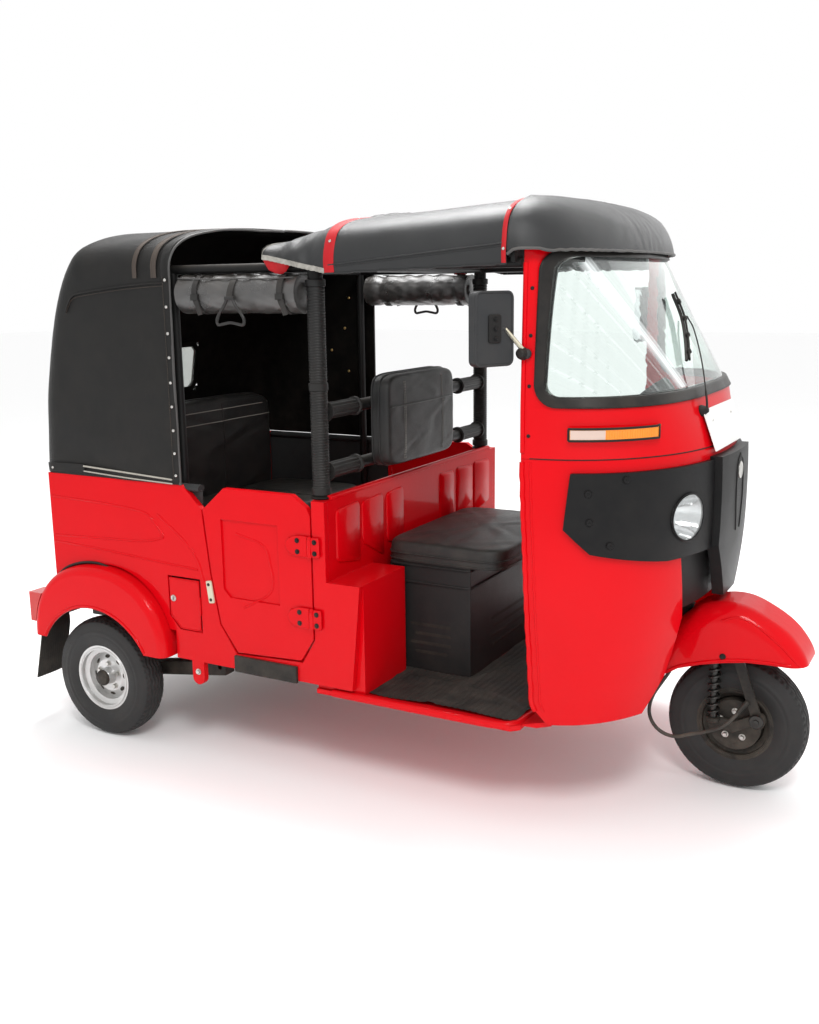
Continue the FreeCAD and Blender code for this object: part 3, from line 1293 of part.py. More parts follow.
cap_hem = prism([(s.canopy_front_x - s.overrun, -s.body_half_width * 2, 0),
    (s.canopy_front_x - s.overrun, -s.body_half_width * 2, s.cap_low_z + s.seat_fit),
                 (s.canopy_front_x, -s.body_half_width * 2, s.cap_low_z + s.seat_fit),
                 (s.cap_side_hem_x, -s.body_half_width * 2, s.cap_side_hem_z),
                 (s.nose_mid_x, -s.body_half_width * 2, s.cap_front_hem_z),
                 (s.nose_mid_x, -s.body_half_width * 2, 0)], (0, s.body_half_width * 4, 0))
free_form("roof_cap", cap_solid(0).cut(cap_solid(s.canopy_wall)).cut(cap_hem))

# Roof frame: posts behind the driver and at the hood, rails between them and hoops under the canopy and cap
post_top = s.roof_rail_z
roof_parts = []
for side in (-1, 1):
    y = side * s.pillar_y
    roof_parts += [rod((s.pillar_x, y, s.partition_top_z + s.seat_fit), (s.pillar_x, y, post_top),
        s.pillar_radius),
                   rod((s.hood_pillar_x, y, s.passenger_floor_z + s.seat_fit),
                   (s.hood_pillar_x, y, post_top), s.roof_rail_radius),
                   rod((s.hood_pillar_x, y, post_top), (s.cab_rear_x - s.moving_gap, y, post_top),
                   s.roof_rail_radius)]
for z in (s.rail_low_z, s.rail_high_z):
    roof_parts.append(rod((s.pillar_x, -s.pillar_y, z), (s.pillar_x, s.pillar_y, z), s.rail_radius))
for x in (s.pillar_x, s.hood_pillar_x):
    roof_parts.append(rod((x, -s.pillar_y, post_top), (x, s.pillar_y, post_top), s.roof_rail_radius))
inner = s.canopy_wall + s.seat_fit
hoop_y = s.canopy_front_half_width - inner - s.hoop_wall / 2
for start_x in (s.hoop_rear_x, s.hoop_front_x):
    end_x = start_x + s.hoop_width
    roof_parts.append(canopy_solid(-inner, start_x, end_x, 0).cut(
        canopy_solid(-inner - s.hoop_wall, start_x - s.overrun, end_x + s.overrun, s.overrun)))
cap_end_x = s.hoop_cap_x + s.hoop_width
cap_hoop = cap_solid(inner).cut(cap_solid(inner + s.hoop_wall))
roof_parts.append(cap_hoop.common(box((s.hoop_cap_x, -s.body_half_width, s.cap_side_hem_z),
    (cap_end_x, s.body_half_width, s.canopy_front_top_z))))
for start_x, tie_z in ((s.hoop_rear_x, post_top + s.hoop_tie_height),
    (s.hoop_front_x, post_top + s.hoop_tie_height), (s.hoop_cap_x, s.cap_side_hem_z + s.hoop_tie_height)):
    for low_y in (-hoop_y, s.pillar_y):
        roof_parts.append(box((start_x, low_y, post_top),
            (start_x + s.hoop_width, low_y + hoop_y - s.pillar_y, tie_z)))
free_form("roof_frame", joined(roof_parts))

# Loose rear flap of the canopy, drawn back to a slack edge
flap_wires = {}
for inset, reach in ((0, 0), (s.canopy_wall, s.overrun)):
    start_x, end_x = s.canopy_rear_x - s.seat_fit * 2 + reach, s.flap_tip_x - reach
    flap_wires[inset] = Part.makeLoft([
        dome(end_x, s.canopy_rear_half_width - inset, s.flap_tip_hem_z, s.flap_tip_top_z - inset,
        s.flap_tip_hem_z - s.seat_fit - reach, s.canopy_power),
        dome(start_x, s.canopy_rear_half_width - inset, s.canopy_rear_hem_z, s.canopy_rear_top_z - inset,
        s.canopy_rear_hem_z - s.seat_fit - reach, s.canopy_power)], True, True)
free_form("front_canopy", Part.makeCompound([canopy, flap_wires[0].cut(flap_wires[s.canopy_wall])]))

# Rear hood: plan outlines that draw in towards the top, under a domed arch
HOOD_SHARES = ((0, 0), (0.32, 0.10), (0.644, 0.30), (0.75, 0.42), (0.87, 0.63), (0.96, 0.90), (1.02, 1.15))


def hood_solid(inset, front_x, foot_z):
    """The hood's filled shape moved in by an inset, from its foot to its top."""
    wires = []
    for rise, draw_in in HOOD_SHARES:
        rear_x = s.hood_rear_x + draw_in * s.hood_draw_in + inset
        wires.append(level(foot_z + rise * (s.body_top_z + s.hood_rise - foot_z), rear_x + s.hood_corner,
            s.hood_half_width - inset, rear_x,
                           s.hood_plan_power, rear_x + s.hood_corner - front_x))
    plan = Part.makeLoft(wires, True, False)
    arch = dome(s.hood_rear_x - s.overrun, s.hood_half_width - inset, s.hood_arch_z, s.hood_top_z - inset,
        foot_z - s.overrun, s.hood_arch_power)
    return plan.common(Part.Face(arch).extrude(V(front_x - s.hood_rear_x + s.overrun * 2, 0, 0)))


window_cut = box((s.hood_rear_x * 2, -s.window_half_width, s.window_low_z),
    (s.hood_rear_x + s.hood_corner * 2, s.window_half_width, s.window_high_z))
hood_foot_z = s.body_top_z + s.seat_fit
hood = hood_solid(0, s.hood_front_x, hood_foot_z).cut(hood_solid(s.hood_wall, s.hood_front_x + s.overrun,
    hood_foot_z - s.overrun))
free_form("rear_hood", hood.cut(window_cut))
pane_cut = box((s.hood_rear_x * 2, -s.window_half_width + s.seat_fit, s.window_low_z + s.seat_fit),
               (s.hood_rear_x + s.hood_corner * 2, s.window_half_width - s.seat_fit,
               s.window_high_z - s.seat_fit))
pane = hood_solid(s.window_wall / 2, s.hood_front_x, hood_foot_z).cut(hood_solid(s.window_wall * 3 / 2,
    s.hood_front_x + s.overrun, hood_foot_z - s.overrun))
free_form("rear_window", pane.common(pane_cut))

# Rolled side curtains under the roof rails
curtain_z = s.roof_rail_z - s.roof_rail_radius - s.seat_fit - s.curtain_radius
curtain = rod((s.curtain_rear_x, -s.curtain_y, curtain_z), (s.curtain_front_x, -s.curtain_y, curtain_z),
    s.curtain_radius)
free_form("side_curtains", both(curtain))

# Mirrors on bent arms from the windscreen pillars
mirror_head = box((-s.mirror_wall / 2, -s.mirror_width / 2, -s.mirror_height / 2),
    (s.mirror_wall / 2, s.mirror_width / 2, s.mirror_height / 2))
mirror_head = mirror_head.makeFillet(s.mirror_corner,
    [e for e in mirror_head.Edges if along(e, V(1, 0, 0))])
mirror_head.rotate(V(0, 0, 0), V(0, 0, 1), -s.mirror_toe)
mirror_head.translate(V(s.mirror_x, -s.mirror_y, s.mirror_z))
boot = V(s.cab_rear_x + s.mirror_boot_radius, -s.mirror_boot_y, s.mirror_arm_z)
elbow = V(s.mirror_x + s.mirror_wall, -s.mirror_y + s.mirror_wall, s.mirror_z)
arm = joined([rod(tuple(elbow), (s.mirror_x, -s.mirror_y, s.mirror_z), s.mirror_arm_radius),
    rod(tuple(elbow), tuple(boot), s.mirror_arm_radius),
              Part.makeSphere(s.mirror_arm_radius, elbow), mirror_head,
              Part.makeSphere(s.mirror_boot_radius, boot)])
arm = arm.cut(shell_solid(UPPER_LEVELS, s.seat_fit, 0, True))
free_form("mirrors", both(arm))

# Driver's seat: a slotted box, a cushion and a padded backrest on the rails
seat_box = slab("driver_seat_box", "XY_Plane", [
    ("seat_box_rear_x", "-seat_box_half_width"), ("seat_box_front_x", "-seat_box_half_width"),
    ("seat_box_front_x", "seat_box_half_width"), ("seat_box_rear_x", "seat_box_half_width")],
    "floor_top_z + seat_fit", "seat_box_top_z - floor_top_z - seat_fit")
hollow = draw(seat_box, "hollow", "XY_Plane", [
    ("seat_box_rear_x + seat_box_wall", "-(seat_box_half_width - seat_box_wall)"),
    ("seat_box_front_x - seat_box_wall", "-(seat_box_half_width - seat_box_wall)"),
    ("seat_box_front_x - seat_box_wall", "seat_box_half_width - seat_box_wall"),
    ("seat_box_rear_x + seat_box_wall", "seat_box_half_width - seat_box_wall")],
    "floor_top_z")
feature(seat_box, "Pocket", hollow, "seat_box_top_z - floor_top_z - seat_box_wall", reverse=True)
cushion = slab("driver_seat", "XY_Plane", [
    ("cushion_rear_x", "-cushion_half_width"), ("cushion_front_x", "-cushion_half_width"),
    ("cushion_front_x", "cushion_half_width"),
    ("cushion_rear_x", "cushion_half_width")], "seat_box_top_z + seat_fit", "cushion_height")
rounded(cushion, "cushion_round", lambda e: e.BoundBox.ZMin > s.seat_box_top_z + s.edge_test)
backrest = slab("driver_backrest", "YZ_Plane", [
    ("-pad_right_y", "pad_low_z"), ("pad_left_y", "pad_low_z"), ("pad_left_y", "pad_high_z"),
    ("-pad_right_y", "pad_high_z")],
    "pillar_x + rail_radius + seat_fit", "pad_front_x - pillar_x - rail_radius - seat_fit")
rounded(backrest, "pad_corner", lambda e: along(e, V(1, 0, 0)))
rounded(backrest, "pad_edge", lambda e: e.BoundBox.XMin > s.pad_front_x - s.edge_test)

# Passenger bench: its base over the engine, cushion and back
bench = slab("bench_base", "XZ_Plane", [
    ("bench_front_x", "passenger_floor_z + seat_fit"), ("bench_front_x", "bench_base_top_z"),
    ("bench_shelf_x", "bench_base_top_z"),
    ("bench_shelf_x", "bench_base_top_z - bench_wall"),
    ("bench_front_x - bench_wall", "bench_base_top_z - bench_wall"),
    ("bench_front_x - bench_wall", "passenger_floor_z + seat_fit")], "-bench_half_width",
    "bench_half_width * 2")
for near in ("bench_half_width - bench_wall", "-bench_half_width"):
    cheek = draw(bench, "cheek" + ("_left" if near[0] == "-" else "_right"), "XZ_Plane", [
        ("bench_front_x", "passenger_floor_z + seat_fit"), ("bench_front_x", "bench_base_top_z"),
        ("bench_cheek_x", "bench_base_top_z"),
        ("bench_cheek_x", "bench_base_top_z - bench_height")], near)
    feature(bench, "Pad", cheek, "bench_wall")
seat = doc.addObject("PartDesign::Body", "bench_cushion")
feature(seat, "Pad", draw(seat, "outline", "XY_Plane", [
    ("bench_rear_x", "-bench_half_width"), ("bench_front_x", "-bench_half_width"),
    ("bench_front_x", "bench_half_width"),
    ("bench_rear_x", "bench_half_width")], "bench_base_top_z + seat_fit"), "bench_height - seat_fit")
rounded(seat, "cushion_round",
    lambda e: e.BoundBox.ZMin > s.bench_base_top_z + s.bench_height - s.edge_test)
back = doc.addObject("PartDesign::Body", "bench_back")
feature(back, "Pad", draw(back, "outline", "YZ_Plane", [
    ("-bench_half_width", "bench_base_top_z + seat_fit"),
    ("bench_half_width", "bench_base_top_z + seat_fit"),
    ("bench_half_width", "bench_back_top_z"), ("-bench_half_width", "bench_back_top_z")],
    "bench_back_x - bench_back_wall"), "bench_back_wall")
rounded(back, "cushion_round", lambda e: e.BoundBox.XMin > s.bench_back_x - s.edge_test)
group("passenger_seat", [seat, back])

# Dash shelf behind the windscreen
shelf = shell_solid(UPPER_LEVELS, -s.cab_wall - s.seat_fit, 0, True).common(
    box((s.dash_x, -s.cab_half_width, s.dash_z), (s.nose_mid_x, s.cab_half_width, s.dash_z + s.dash_wall)))
free_form("dash_shelf", shelf)

# Every object must be sound before any file is written
doc.recompute()
for item in doc.Objects:
    if "Invalid" in item.State or "Error" in item.State:
        raise SystemExit(f"{item.Label} did not build")
for piece in pieces:
    if piece.Shape.isNull() or not piece.Shape.isValid():
        raise SystemExit(f"{piece.Label} has no valid shape")
os.makedirs("parts", exist_ok=True)
for piece in pieces:
    piece.Shape.exportStep(f"parts/{piece.Label}.step")
print(len(pieces), "sub-parts written")
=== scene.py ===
import math

import bmesh
import bpy
from mathutils import Matrix, Vector
from mathutils.bvhtree import BVHTree


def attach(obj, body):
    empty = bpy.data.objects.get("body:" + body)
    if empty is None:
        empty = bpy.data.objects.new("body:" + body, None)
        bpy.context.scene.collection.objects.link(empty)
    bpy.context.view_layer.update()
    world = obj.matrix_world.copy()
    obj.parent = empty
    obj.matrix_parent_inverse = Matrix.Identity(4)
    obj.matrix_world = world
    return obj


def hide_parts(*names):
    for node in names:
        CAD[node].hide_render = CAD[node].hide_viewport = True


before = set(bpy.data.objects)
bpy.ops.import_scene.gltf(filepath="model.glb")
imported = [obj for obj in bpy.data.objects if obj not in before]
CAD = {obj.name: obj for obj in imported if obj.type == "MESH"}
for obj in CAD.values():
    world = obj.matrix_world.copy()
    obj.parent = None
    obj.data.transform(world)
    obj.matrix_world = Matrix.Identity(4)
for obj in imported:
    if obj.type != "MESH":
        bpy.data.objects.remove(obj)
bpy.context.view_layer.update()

# Camera: a long view from the front right, a little above the roof rails.
# Its place and angles come from a fit to twenty points of the vehicle.
scene = bpy.context.scene
CAMERA_PLACE = (1.7228, -3.1809, 1.5114)
CAMERA_TURN, CAMERA_DIP, CAMERA_ROLL = (math.radians(angle) for angle in (29.09, 11.83, -0.76))
level_right = Vector((math.cos(CAMERA_TURN), math.sin(CAMERA_TURN), 0))
ahead = Vector((-level_right.y * math.cos(CAMERA_DIP), level_right.x * math.cos(CAMERA_DIP),
                -math.sin(CAMERA_DIP)))
level_up = level_right.cross(ahead)
right = level_right * math.cos(CAMERA_ROLL) + level_up * math.sin(CAMERA_ROLL)
up = level_up * math.cos(CAMERA_ROLL) - level_right * math.sin(CAMERA_ROLL)
camera = bpy.data.objects.new("camera", bpy.data.cameras.new("camera"))
camera.data.lens = 38.07
camera.data.clip_end = 60
camera.matrix_world = Matrix.Translation(CAMERA_PLACE) @ Matrix((right, up, -ahead)).transposed().to_4x4()
scene.collection.objects.link(camera)
scene.camera = camera


# Brake hose: black rubber over a braid, 11 mm thick, free between its two fittings on the fork.
# It bows down behind the wheel, so that the link can move, and turns up to the fitting on the leg.
def mm(*place):
    """A point given in millimetres."""
    return Vector(place) / 1000


def shader_node(tree, kind, inputs, **settings):
    """A shader node with its settings; each input gets a value, or a link from another node."""
    made = tree.nodes.new("ShaderNode" + kind)
    for setting, value in settings.items():
        setattr(made, setting, value)
    for socket, value in inputs.items():
        if isinstance(value, bpy.types.NodeSocket):
            tree.links.new(value, made.inputs[socket])
        else:
            made.inputs[socket].default_value = value
    return made


def math_node(tree, operation, a, b=0.5, clamp=False):
    """One sum in a shader, of numbers or of other nodes' values."""
    return shader_node(tree, "Math", {0: a, 1: b}, operation=operation, use_clamp=clamp).outputs[0]


def mixed(tree, share, low, high):
    """One colour shaded into another; a plain colour is given as three numbers."""
    low, high = ((*shade, 1) if isinstance(shade, tuple) else shade for shade in (low, high))
    return shader_node(tree, "Mix", {0: share, 6: low, 7: high}, data_type="RGBA").outputs[2]


def noise(tree, scale, detail=3.0, rough=0.5):
    """Object-space noise, so that it stays with its piece."""
    place = shader_node(tree, "TexCoord", {}).outputs["Object"]
    inputs = {"Vector": place, "Scale": scale, "Detail": detail, "Roughness": rough}
    return shader_node(tree, "TexNoise", inputs).outputs["Fac"]


def node_group(name, inputs, outputs):
    """An empty shader group with its named sockets."""
    group = bpy.data.node_groups.new(name, "ShaderNodeTree")
    for socket, value in inputs.items():
        kind = "NodeSocketColor" if isinstance(value, tuple) else "NodeSocketFloat"
        made = group.interface.new_socket(name=socket, in_out="INPUT", socket_type=kind)
        made.default_value = value
    for socket in outputs:
        kind = "NodeSocketColor" if socket == "Color" else "NodeSocketFloat"
        group.interface.new_socket(name=socket, in_out="OUTPUT", socket_type=kind)
    return group, group.nodes.new("NodeGroupInput").outputs, group.nodes.new("NodeGroupOutput").inputs


# Grain: fine and broad unevenness of a moulded, sewn or painted surface.
# Its height goes to a bump, and its broad shade mixes a finish's two colours.
GRAIN, grain_in, grain_out = node_group(
    "surface_grain", {"Fine scale": 900, "Broad scale": 9, "Broad share": 0.5}, ("Height", "Shade"))
grain_broad = noise(GRAIN, grain_in["Broad scale"], 4, 0.6)
grain_swell = math_node(GRAIN, "MULTIPLY", grain_broad, grain_in["Broad share"])
grain_height = math_node(GRAIN, "ADD", noise(GRAIN, grain_in["Fine scale"], 2), grain_swell)
GRAIN.links.new(grain_height, grain_out["Height"])
GRAIN.links.new(grain_broad, grain_out["Shade"])

# Road dust: a pale film that is thickest near the ground and on faces that look up.
# It covers a finish's colour, and its mask dulls the gloss.
DUST, dust_in, dust_out = node_group(
    "road_dust", {"Base": (0.5, 0.5, 0.5, 1), "Dust": (0.33, 0.27, 0.21, 1), "Amount": 0.3, "Reach": 0.7},
    ("Color", "Mask"))
dust_place = shader_node(DUST, "SeparateXYZ", {0: shader_node(DUST, "TexCoord", {}).outputs["Object"]})
dust_normal = shader_node(DUST, "SeparateXYZ", {0: shader_node(DUST, "NewGeometry", {}).outputs["Normal"]})
dust_height = math_node(DUST, "DIVIDE", dust_place.outputs["Z"], dust_in["Reach"])
dust_low = math_node(DUST, "SUBTRACT", 1.0, dust_height, True)
dust_up = math_node(DUST, "MULTIPLY", math_node(DUST, "MAXIMUM", dust_normal.outputs["Z"], 0.0), 0.35)
dust_patches = math_node(DUST, "SUBTRACT", noise(DUST, 14, 6, 0.7), 0.28, True)
dust_spread = math_node(DUST, "MULTIPLY", math_node(DUST, "ADD", dust_low, dust_up), dust_patches)
dust_mask = math_node(DUST, "MULTIPLY", dust_spread,
                      math_node(DUST, "MULTIPLY", dust_in["Amount"], 3.0), True)
DUST.links.new(mixed(DUST, dust_mask, dust_in["Base"], dust_in["Dust"]), dust_out["Color"])
DUST.links.new(dust_mask, dust_out["Mask"])


def finish(name, color, second, rough, dust=0.2, reach=0.7, fine=900, broad=9, broad_share=0.5, bump=0.0006,
           rough_swing=0.12, edge=0.0, gloss=0.2, **sockets):
    """A material: two close colours over the broad grain, dust, a bump and a roughness that varies."""
    made = bpy.data.materials.new(name)
    made.use_nodes = True
    tree = made.node_tree
    shader = tree.nodes["Principled BSDF"]
    grain_sizes = {"Fine scale": fine, "Broad scale": broad, "Broad share": broad_share}
    grain = shader_node(tree, "Group", grain_sizes, node_tree=GRAIN).outputs
    dusty = {"Amount": dust, "Reach": reach, "Base": mixed(tree, grain["Shade"], color, second)}
    film = shader_node(tree, "Group", dusty, node_tree=DUST).outputs
    swing = math_node(tree, "MULTIPLY", math_node(tree, "SUBTRACT", grain["Shade"], 0.5), rough_swing * 2)
    dulled = math_node(tree, "MULTIPLY", film["Mask"], 0.45)
    uneven = math_node(tree, "ADD", math_node(tree, "ADD", swing, rough), dulled, True)
    relief = shader_node(tree, "Bump", {"Distance": bump, "Strength": 0.6, "Height": grain["Height"]})
    if edge:
        softened = shader_node(tree, "Bevel", {"Radius": edge}, samples=4)
        tree.links.new(softened.outputs["Normal"], relief.inputs["Normal"])
    tree.links.new(film["Color"], shader.inputs["Base Color"])
    tree.links.new(uneven, shader.inputs["Roughness"])
    tree.links.new(relief.outputs["Normal"], shader.inputs["Normal"])
    shader.inputs["Specular IOR Level"].default_value = gloss
    for socket, value in sockets.items():
        shader.inputs[socket.replace("_", " ")].default_value = value
    return made


HOSE_SHARES = ((-0.807, -0.396, 2.029), (-0.884, -0.425, 1.778), (-1.019, -0.473, 1.556),
               (-1.135, -0.580, 1.343), (-1.155, -0.638, 1.092), (-1.010, -0.647, 0.879),
               (-0.758, -0.647, 0.812), (-0.517, -0.643, 0.918), (-0.256, -0.643, 1.005),
               (-0.005, -0.657, 1.159), (0.106, -0.546, 1.314))
TYRE_RADIUS = 0.207
FRONT_AXLE = Vector((1.085, 0, TYRE_RADIUS))
HOSE_LENGTH, HOSE_THICKNESS = 0.534, 0.011
hose_route = [Vector((FRONT_AXLE.x + x * TYRE_RADIUS, y * TYRE_RADIUS, z * TYRE_RADIUS))
              for x, y, z in HOSE_SHARES]
hose_rubber = finish("hose_rubber", (0.012, 0.012, 0.013), (0.022, 0.021, 0.02), 0.42, dust=0.25, fine=1400,
                     bump=0.0004)
hose_curve = bpy.data.curves.new("brake_hose_line", "CURVE")
hose_curve.dimensions = "3D"
hose_curve.resolution_u = 12
hose_curve.bevel_depth = HOSE_THICKNESS / 2
hose_curve.bevel_resolution = 4
hose_curve.use_fill_caps = True
hose_spline = hose_curve.splines.new("NURBS")
hose_spline.points.add(len(hose_route) - 1)
for point, place in zip(hose_spline.points, hose_route):
    point.co = (*place, 1)
hose_spline.order_u = 3
hose_spline.use_endpoint_u = True
hose_curve.materials.append(hose_rubber)
brake_hose = bpy.data.objects.new("brake_hose_rubber", hose_curve)
scene.collection.objects.link(brake_hose)
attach(brake_hose, "steering")
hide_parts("brake_hose")

# Studio: a plain pale floor that fades into a pale surround, with large soft lights.
# The main light stands high at the front right, as the day's light does on the vehicle.
floor_paint = bpy.data.materials.new("studio_floor")
floor_paint.use_nodes = True
floor_shader = floor_paint.node_tree.nodes["Principled BSDF"]
floor_shader.inputs["Base Color"].default_value = (0.97, 0.97, 0.97, 1)
floor_shader.inputs["Roughness"].default_value = 0.75
floor_mesh = bpy.data.meshes.new("studio_floor")
floor_mesh.from_pydata([(-30, -30, 0), (30, -30, 0), (30, 30, 0), (-30, 30, 0)], [], [(0, 1, 2, 3)])
floor_mesh.materials.append(floor_paint)
studio_floor = bpy.data.objects.new("studio_floor", floor_mesh)
scene.collection.objects.link(studio_floor)
world = bpy.data.worlds.new("studio")
world.use_nodes = True
world.node_tree.nodes["Background"].inputs["Color"].default_value = (1, 1, 1, 1)
world.node_tree.nodes["Background"].inputs["Strength"].default_value = 1.0
scene.world = world
scene.view_settings.view_transform = "Standard"
LIT_PLACE = Vector((0, 0, 0.7))
for light_name, place, size, power in (("key_light", (2.2, -3.4, 4.4), 1.3, 120),
                                       ("top_light", (-0.6, 0.8, 4.2), 2.2, 210),
                                       ("left_light", (1.5, 4.0, 3.4), 3.0, 20)):
    lamp = bpy.data.lights.new(light_name, "AREA")
    lamp.size = size
    lamp.energy = power
    light = bpy.data.objects.new(light_name, lamp)
    light.location = place
    light.rotation_euler = (LIT_PLACE - Vector(place)).to_track_quat("-Z", "Y").to_euler()
    scene.collection.objects.link(light)

# Chassis: welded box rails, cross members and the backbone tube to the steering head.
# All of it is sprayed satin black, and the low parts carry road dust.
frame_black = finish("frame_black", (0.006, 0.006, 0.007), (0.013, 0.013, 0.012), 0.38, gloss=0.15, reach=0.6,
                     fine=600, bump=0.0005, edge=0.0025)
cast_alloy = finish("cast_alloy", (0.16, 0.16, 0.155), (0.24, 0.235, 0.22), 0.55, dust=0.5, reach=0.8,
                    fine=260, bump=0.0012, Metallic=0.7)


def coat(material, *nodes):
    """Gives CAD nodes their finish."""
    for node in nodes:
        mesh = CAD[node].data
        mesh.materials.clear()
        mesh.materials.append(material)
        mesh.polygons.foreach_set("material_index", [0] * len(mesh.polygons))


coat(frame_black, "chassis_frame", "rear_suspension", "rear_bumper", "front_fork", "front_link", "roof_frame",
     "step_plates")
coat(cast_alloy, "engine")

# Body sides, doors and sills: pressed sheet steel, spot welded and sprayed a deep glossy red.
# Creases stiffen the panels, and each door hangs on two bolted hinges beside a catch of pale plastic.
SIDES = (("right", -1), ("left", 1))
red_paint = finish("red_paint", (0.62, 0.0012, 0.006), (0.55, 0.0008, 0.004), 0.30, dust=0.03, reach=0.5,
                   fine=70, broad=5, bump=0.0005, rough_swing=0.06, edge=0.004, gloss=0.03,
                   Coat_Weight=0.22, Coat_Roughness=0.04)
coat(red_paint, "apron", "cowl_upper", "body_side_right", "body_side_left", "door_right", "door_left",
     "engine_lid", "floor_pan", "front_fender", "fuel_flap", "partition", "rear_fenders", "rear_panel")
# A near-black finish for black bolts, screws, rubber and frames; it also stands as painted shade in holes,
# slits and under louvres.
black_and_painted_shade = finish("black_and_painted_shade", (0.008, 0.008, 0.008), (0.016, 0.014, 0.013), 0.6)
bright_zinc = finish("bright_zinc", (0.62, 0.61, 0.58), (0.45, 0.44, 0.42), 0.3, dust=0.15, fine=500,
                     bump=0.0002, edge=0.0006, Metallic=1.0)
catch_cream = finish("catch_cream", (0.62, 0.58, 0.44), (0.5, 0.46, 0.35), 0.5, fine=600,
                     bump=0.0003, edge=0.001)
surfaces = {}


def surface_of(mesh):
    """A mesh made ready for lines to be cast on it."""
    return BVHTree.FromPolygons([v.co.copy() for v in mesh.vertices],
                                [tuple(p.vertices) for p in mesh.polygons])


def touch(node, start, way):
    """Where a straight line from a point first meets a solid, with the surface's direction there."""
    if node not in surfaces:
        surfaces[node] = surface_of(CAD[node].data)
    return surfaces[node].ray_cast(Vector(start), Vector(way))[:2]


def hits(node, starts, way):
    """The points where lines from several places along one way meet a solid."""
    spots = [touch(node, start, way)[0] for start in starts]
    return [spot for spot in spots if spot is not None]


def smooth_line(points, steps=6):
    """A fair line through the points."""
    line = [Vector(p) for p in points]
    line = [line[0] * 2 - line[1]] + line + [line[-1] * 2 - line[-2]]
    out = []
    for a, b, c, d in zip(line, line[1:], line[2:], line[3:]):
        for t in (step / steps for step in range(steps)):
            bend = (2 * a - 5 * b + 4 * c - d) * t * t + (3 * b - a - 3 * c + d) * t ** 3
            out.append(0.5 * (2 * b + (c - a) * t + bend))
    return out + [line[-2]]


def fair_line(places, steps=8):
    """A fair line through places in millimetres."""
    return smooth_line([mm(*place) for place in places], steps)


def laid(node, places, way, lift=0.0):
    """A fair line through places in millimetres, laid on a solid along a direction."""
    way = Vector(way)
    return [spot - way * lift for spot in hits(node, [p - way * 0.4 for p in fair_line(places)], way)]


def piece(name, points, faces, material, body="body", sharp=40):
    """A mesh built from points in metres, which rides on its body."""
    mesh = bpy.data.meshes.new(name)
    mesh.from_pydata([tuple(p) for p in points], [], [tuple(f) for f in faces])
    mesh.validate()
    work = bmesh.new()
    work.from_mesh(mesh)
    bmesh.ops.recalc_face_normals(work, faces=work.faces)
    work.to_mesh(mesh)
    work.free()
    mesh.shade_smooth()
    mesh.set_sharp_from_angle(angle=math.radians(sharp))
    mesh.materials.append(material)
    made = bpy.data.objects.new(name, mesh)
    scene.collection.objects.link(made)
    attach(made, body)
    return made


def gathered(parts):
    """Several point and face lists as one."""
    verts, faces = [], []
    for points, shapes in parts:
        start = len(verts)
        verts += list(points)
        faces += [tuple(number + start for number in face) for face in shapes]
    return verts, faces


def joined(name, parts, material, body="body", sharp=40):
    """One piece from several parts."""
    return piece(name, *gathered(parts), material, body, sharp)


def ring_faces(first, second):
    """Quads between two closed rows of point numbers."""
    return [(first[i - 1], first[i], second[i], second[i - 1]) for i in list(range(1, len(first))) + [0]]


def stacked(rows):
    """Quads between closed rows of point numbers, one above the other."""
    return [face for low, high in zip(rows, rows[1:]) for face in ring_faces(low, high)]


def turns(steps, start=0.0):
    """Angles that share out one full turn."""
    return [start + 2 * math.pi * step / steps for step in range(steps)]


def swept(points, radius, sides=8, flat=1.0, up_hint=(0, 0, 1), capped=True):
    """Points and faces of a tube along a line; radius may be one number or one for each point."""
    line = [Vector(p) for p in points]
    radii = radius if hasattr(radius, "__len__") else [radius] * len(line)
    verts, normal = [], None
    for index, centre in enumerate(line):
        way = (line[min(index + 1, len(line) - 1)] - line[max(index - 1, 0)]).normalized()
        if normal is None:
            normal = Vector(up_hint)
            normal = normal if abs(normal.dot(way)) < 0.95 else Vector((1, 0.3, 0.2))
        normal = (normal - way * normal.dot(way)).normalized()
        side = way.cross(normal)
        for angle in turns(sides):
            reach = radii[index]
            verts.append(centre + side * math.cos(angle) * reach + normal * math.sin(angle) * reach * flat)
    rows = [range(start, start + sides) for start in range(0, len(verts), sides)]
    return verts, stacked(rows) + ([tuple(reversed(rows[0])), tuple(rows[-1])] if capped else [])


def rod(name, points, radius, material, body="body", sides=8, **shape):
    """One piece swept along a line."""
    return piece(name, *swept(points, radius, sides, **shape), material, body, 80)


def lathed(profile, place, way, sides=24):
    """A turned shape: pairs of radius and height in millimetres, from a place along a direction."""
    axis = Vector(way).normalized()
    across = axis.orthogonal().normalized()
    third = axis.cross(across)
    verts = []
    for radius, height in profile:
        for angle in turns(sides):
            spoke = (across * math.cos(angle) + third * math.sin(angle)) * radius / 1000
            verts.append(Vector(place) + spoke + axis * height / 1000)
    rows = [range(start, start + sides) for start in range(0, len(verts), sides)]
    return verts, stacked(rows) + [tuple(reversed(rows[0])), tuple(rows[-1])]


def rounded(points, radius, steps=5):
    """A closed outline with its corners rounded; radius may be one number or one for each corner."""
    line = [Vector(p) for p in points]
    radii = radius if hasattr(radius, "__len__") else [radius] * len(line)
    out = []
    for index, corner in enumerate(line):
        back, on = line[index - 1] - corner, line[(index + 1) % len(line)] - corner
        reach = min(radii[index], back.length * 0.48, on.length * 0.48)
        a, b = corner + back.normalized() * reach, corner + on.normalized() * reach
        out += [a * (1 - t) ** 2 + corner * 2 * t * (1 - t) + b * t * t
                for t in (k / steps for k in range(steps + 1))]
    return out


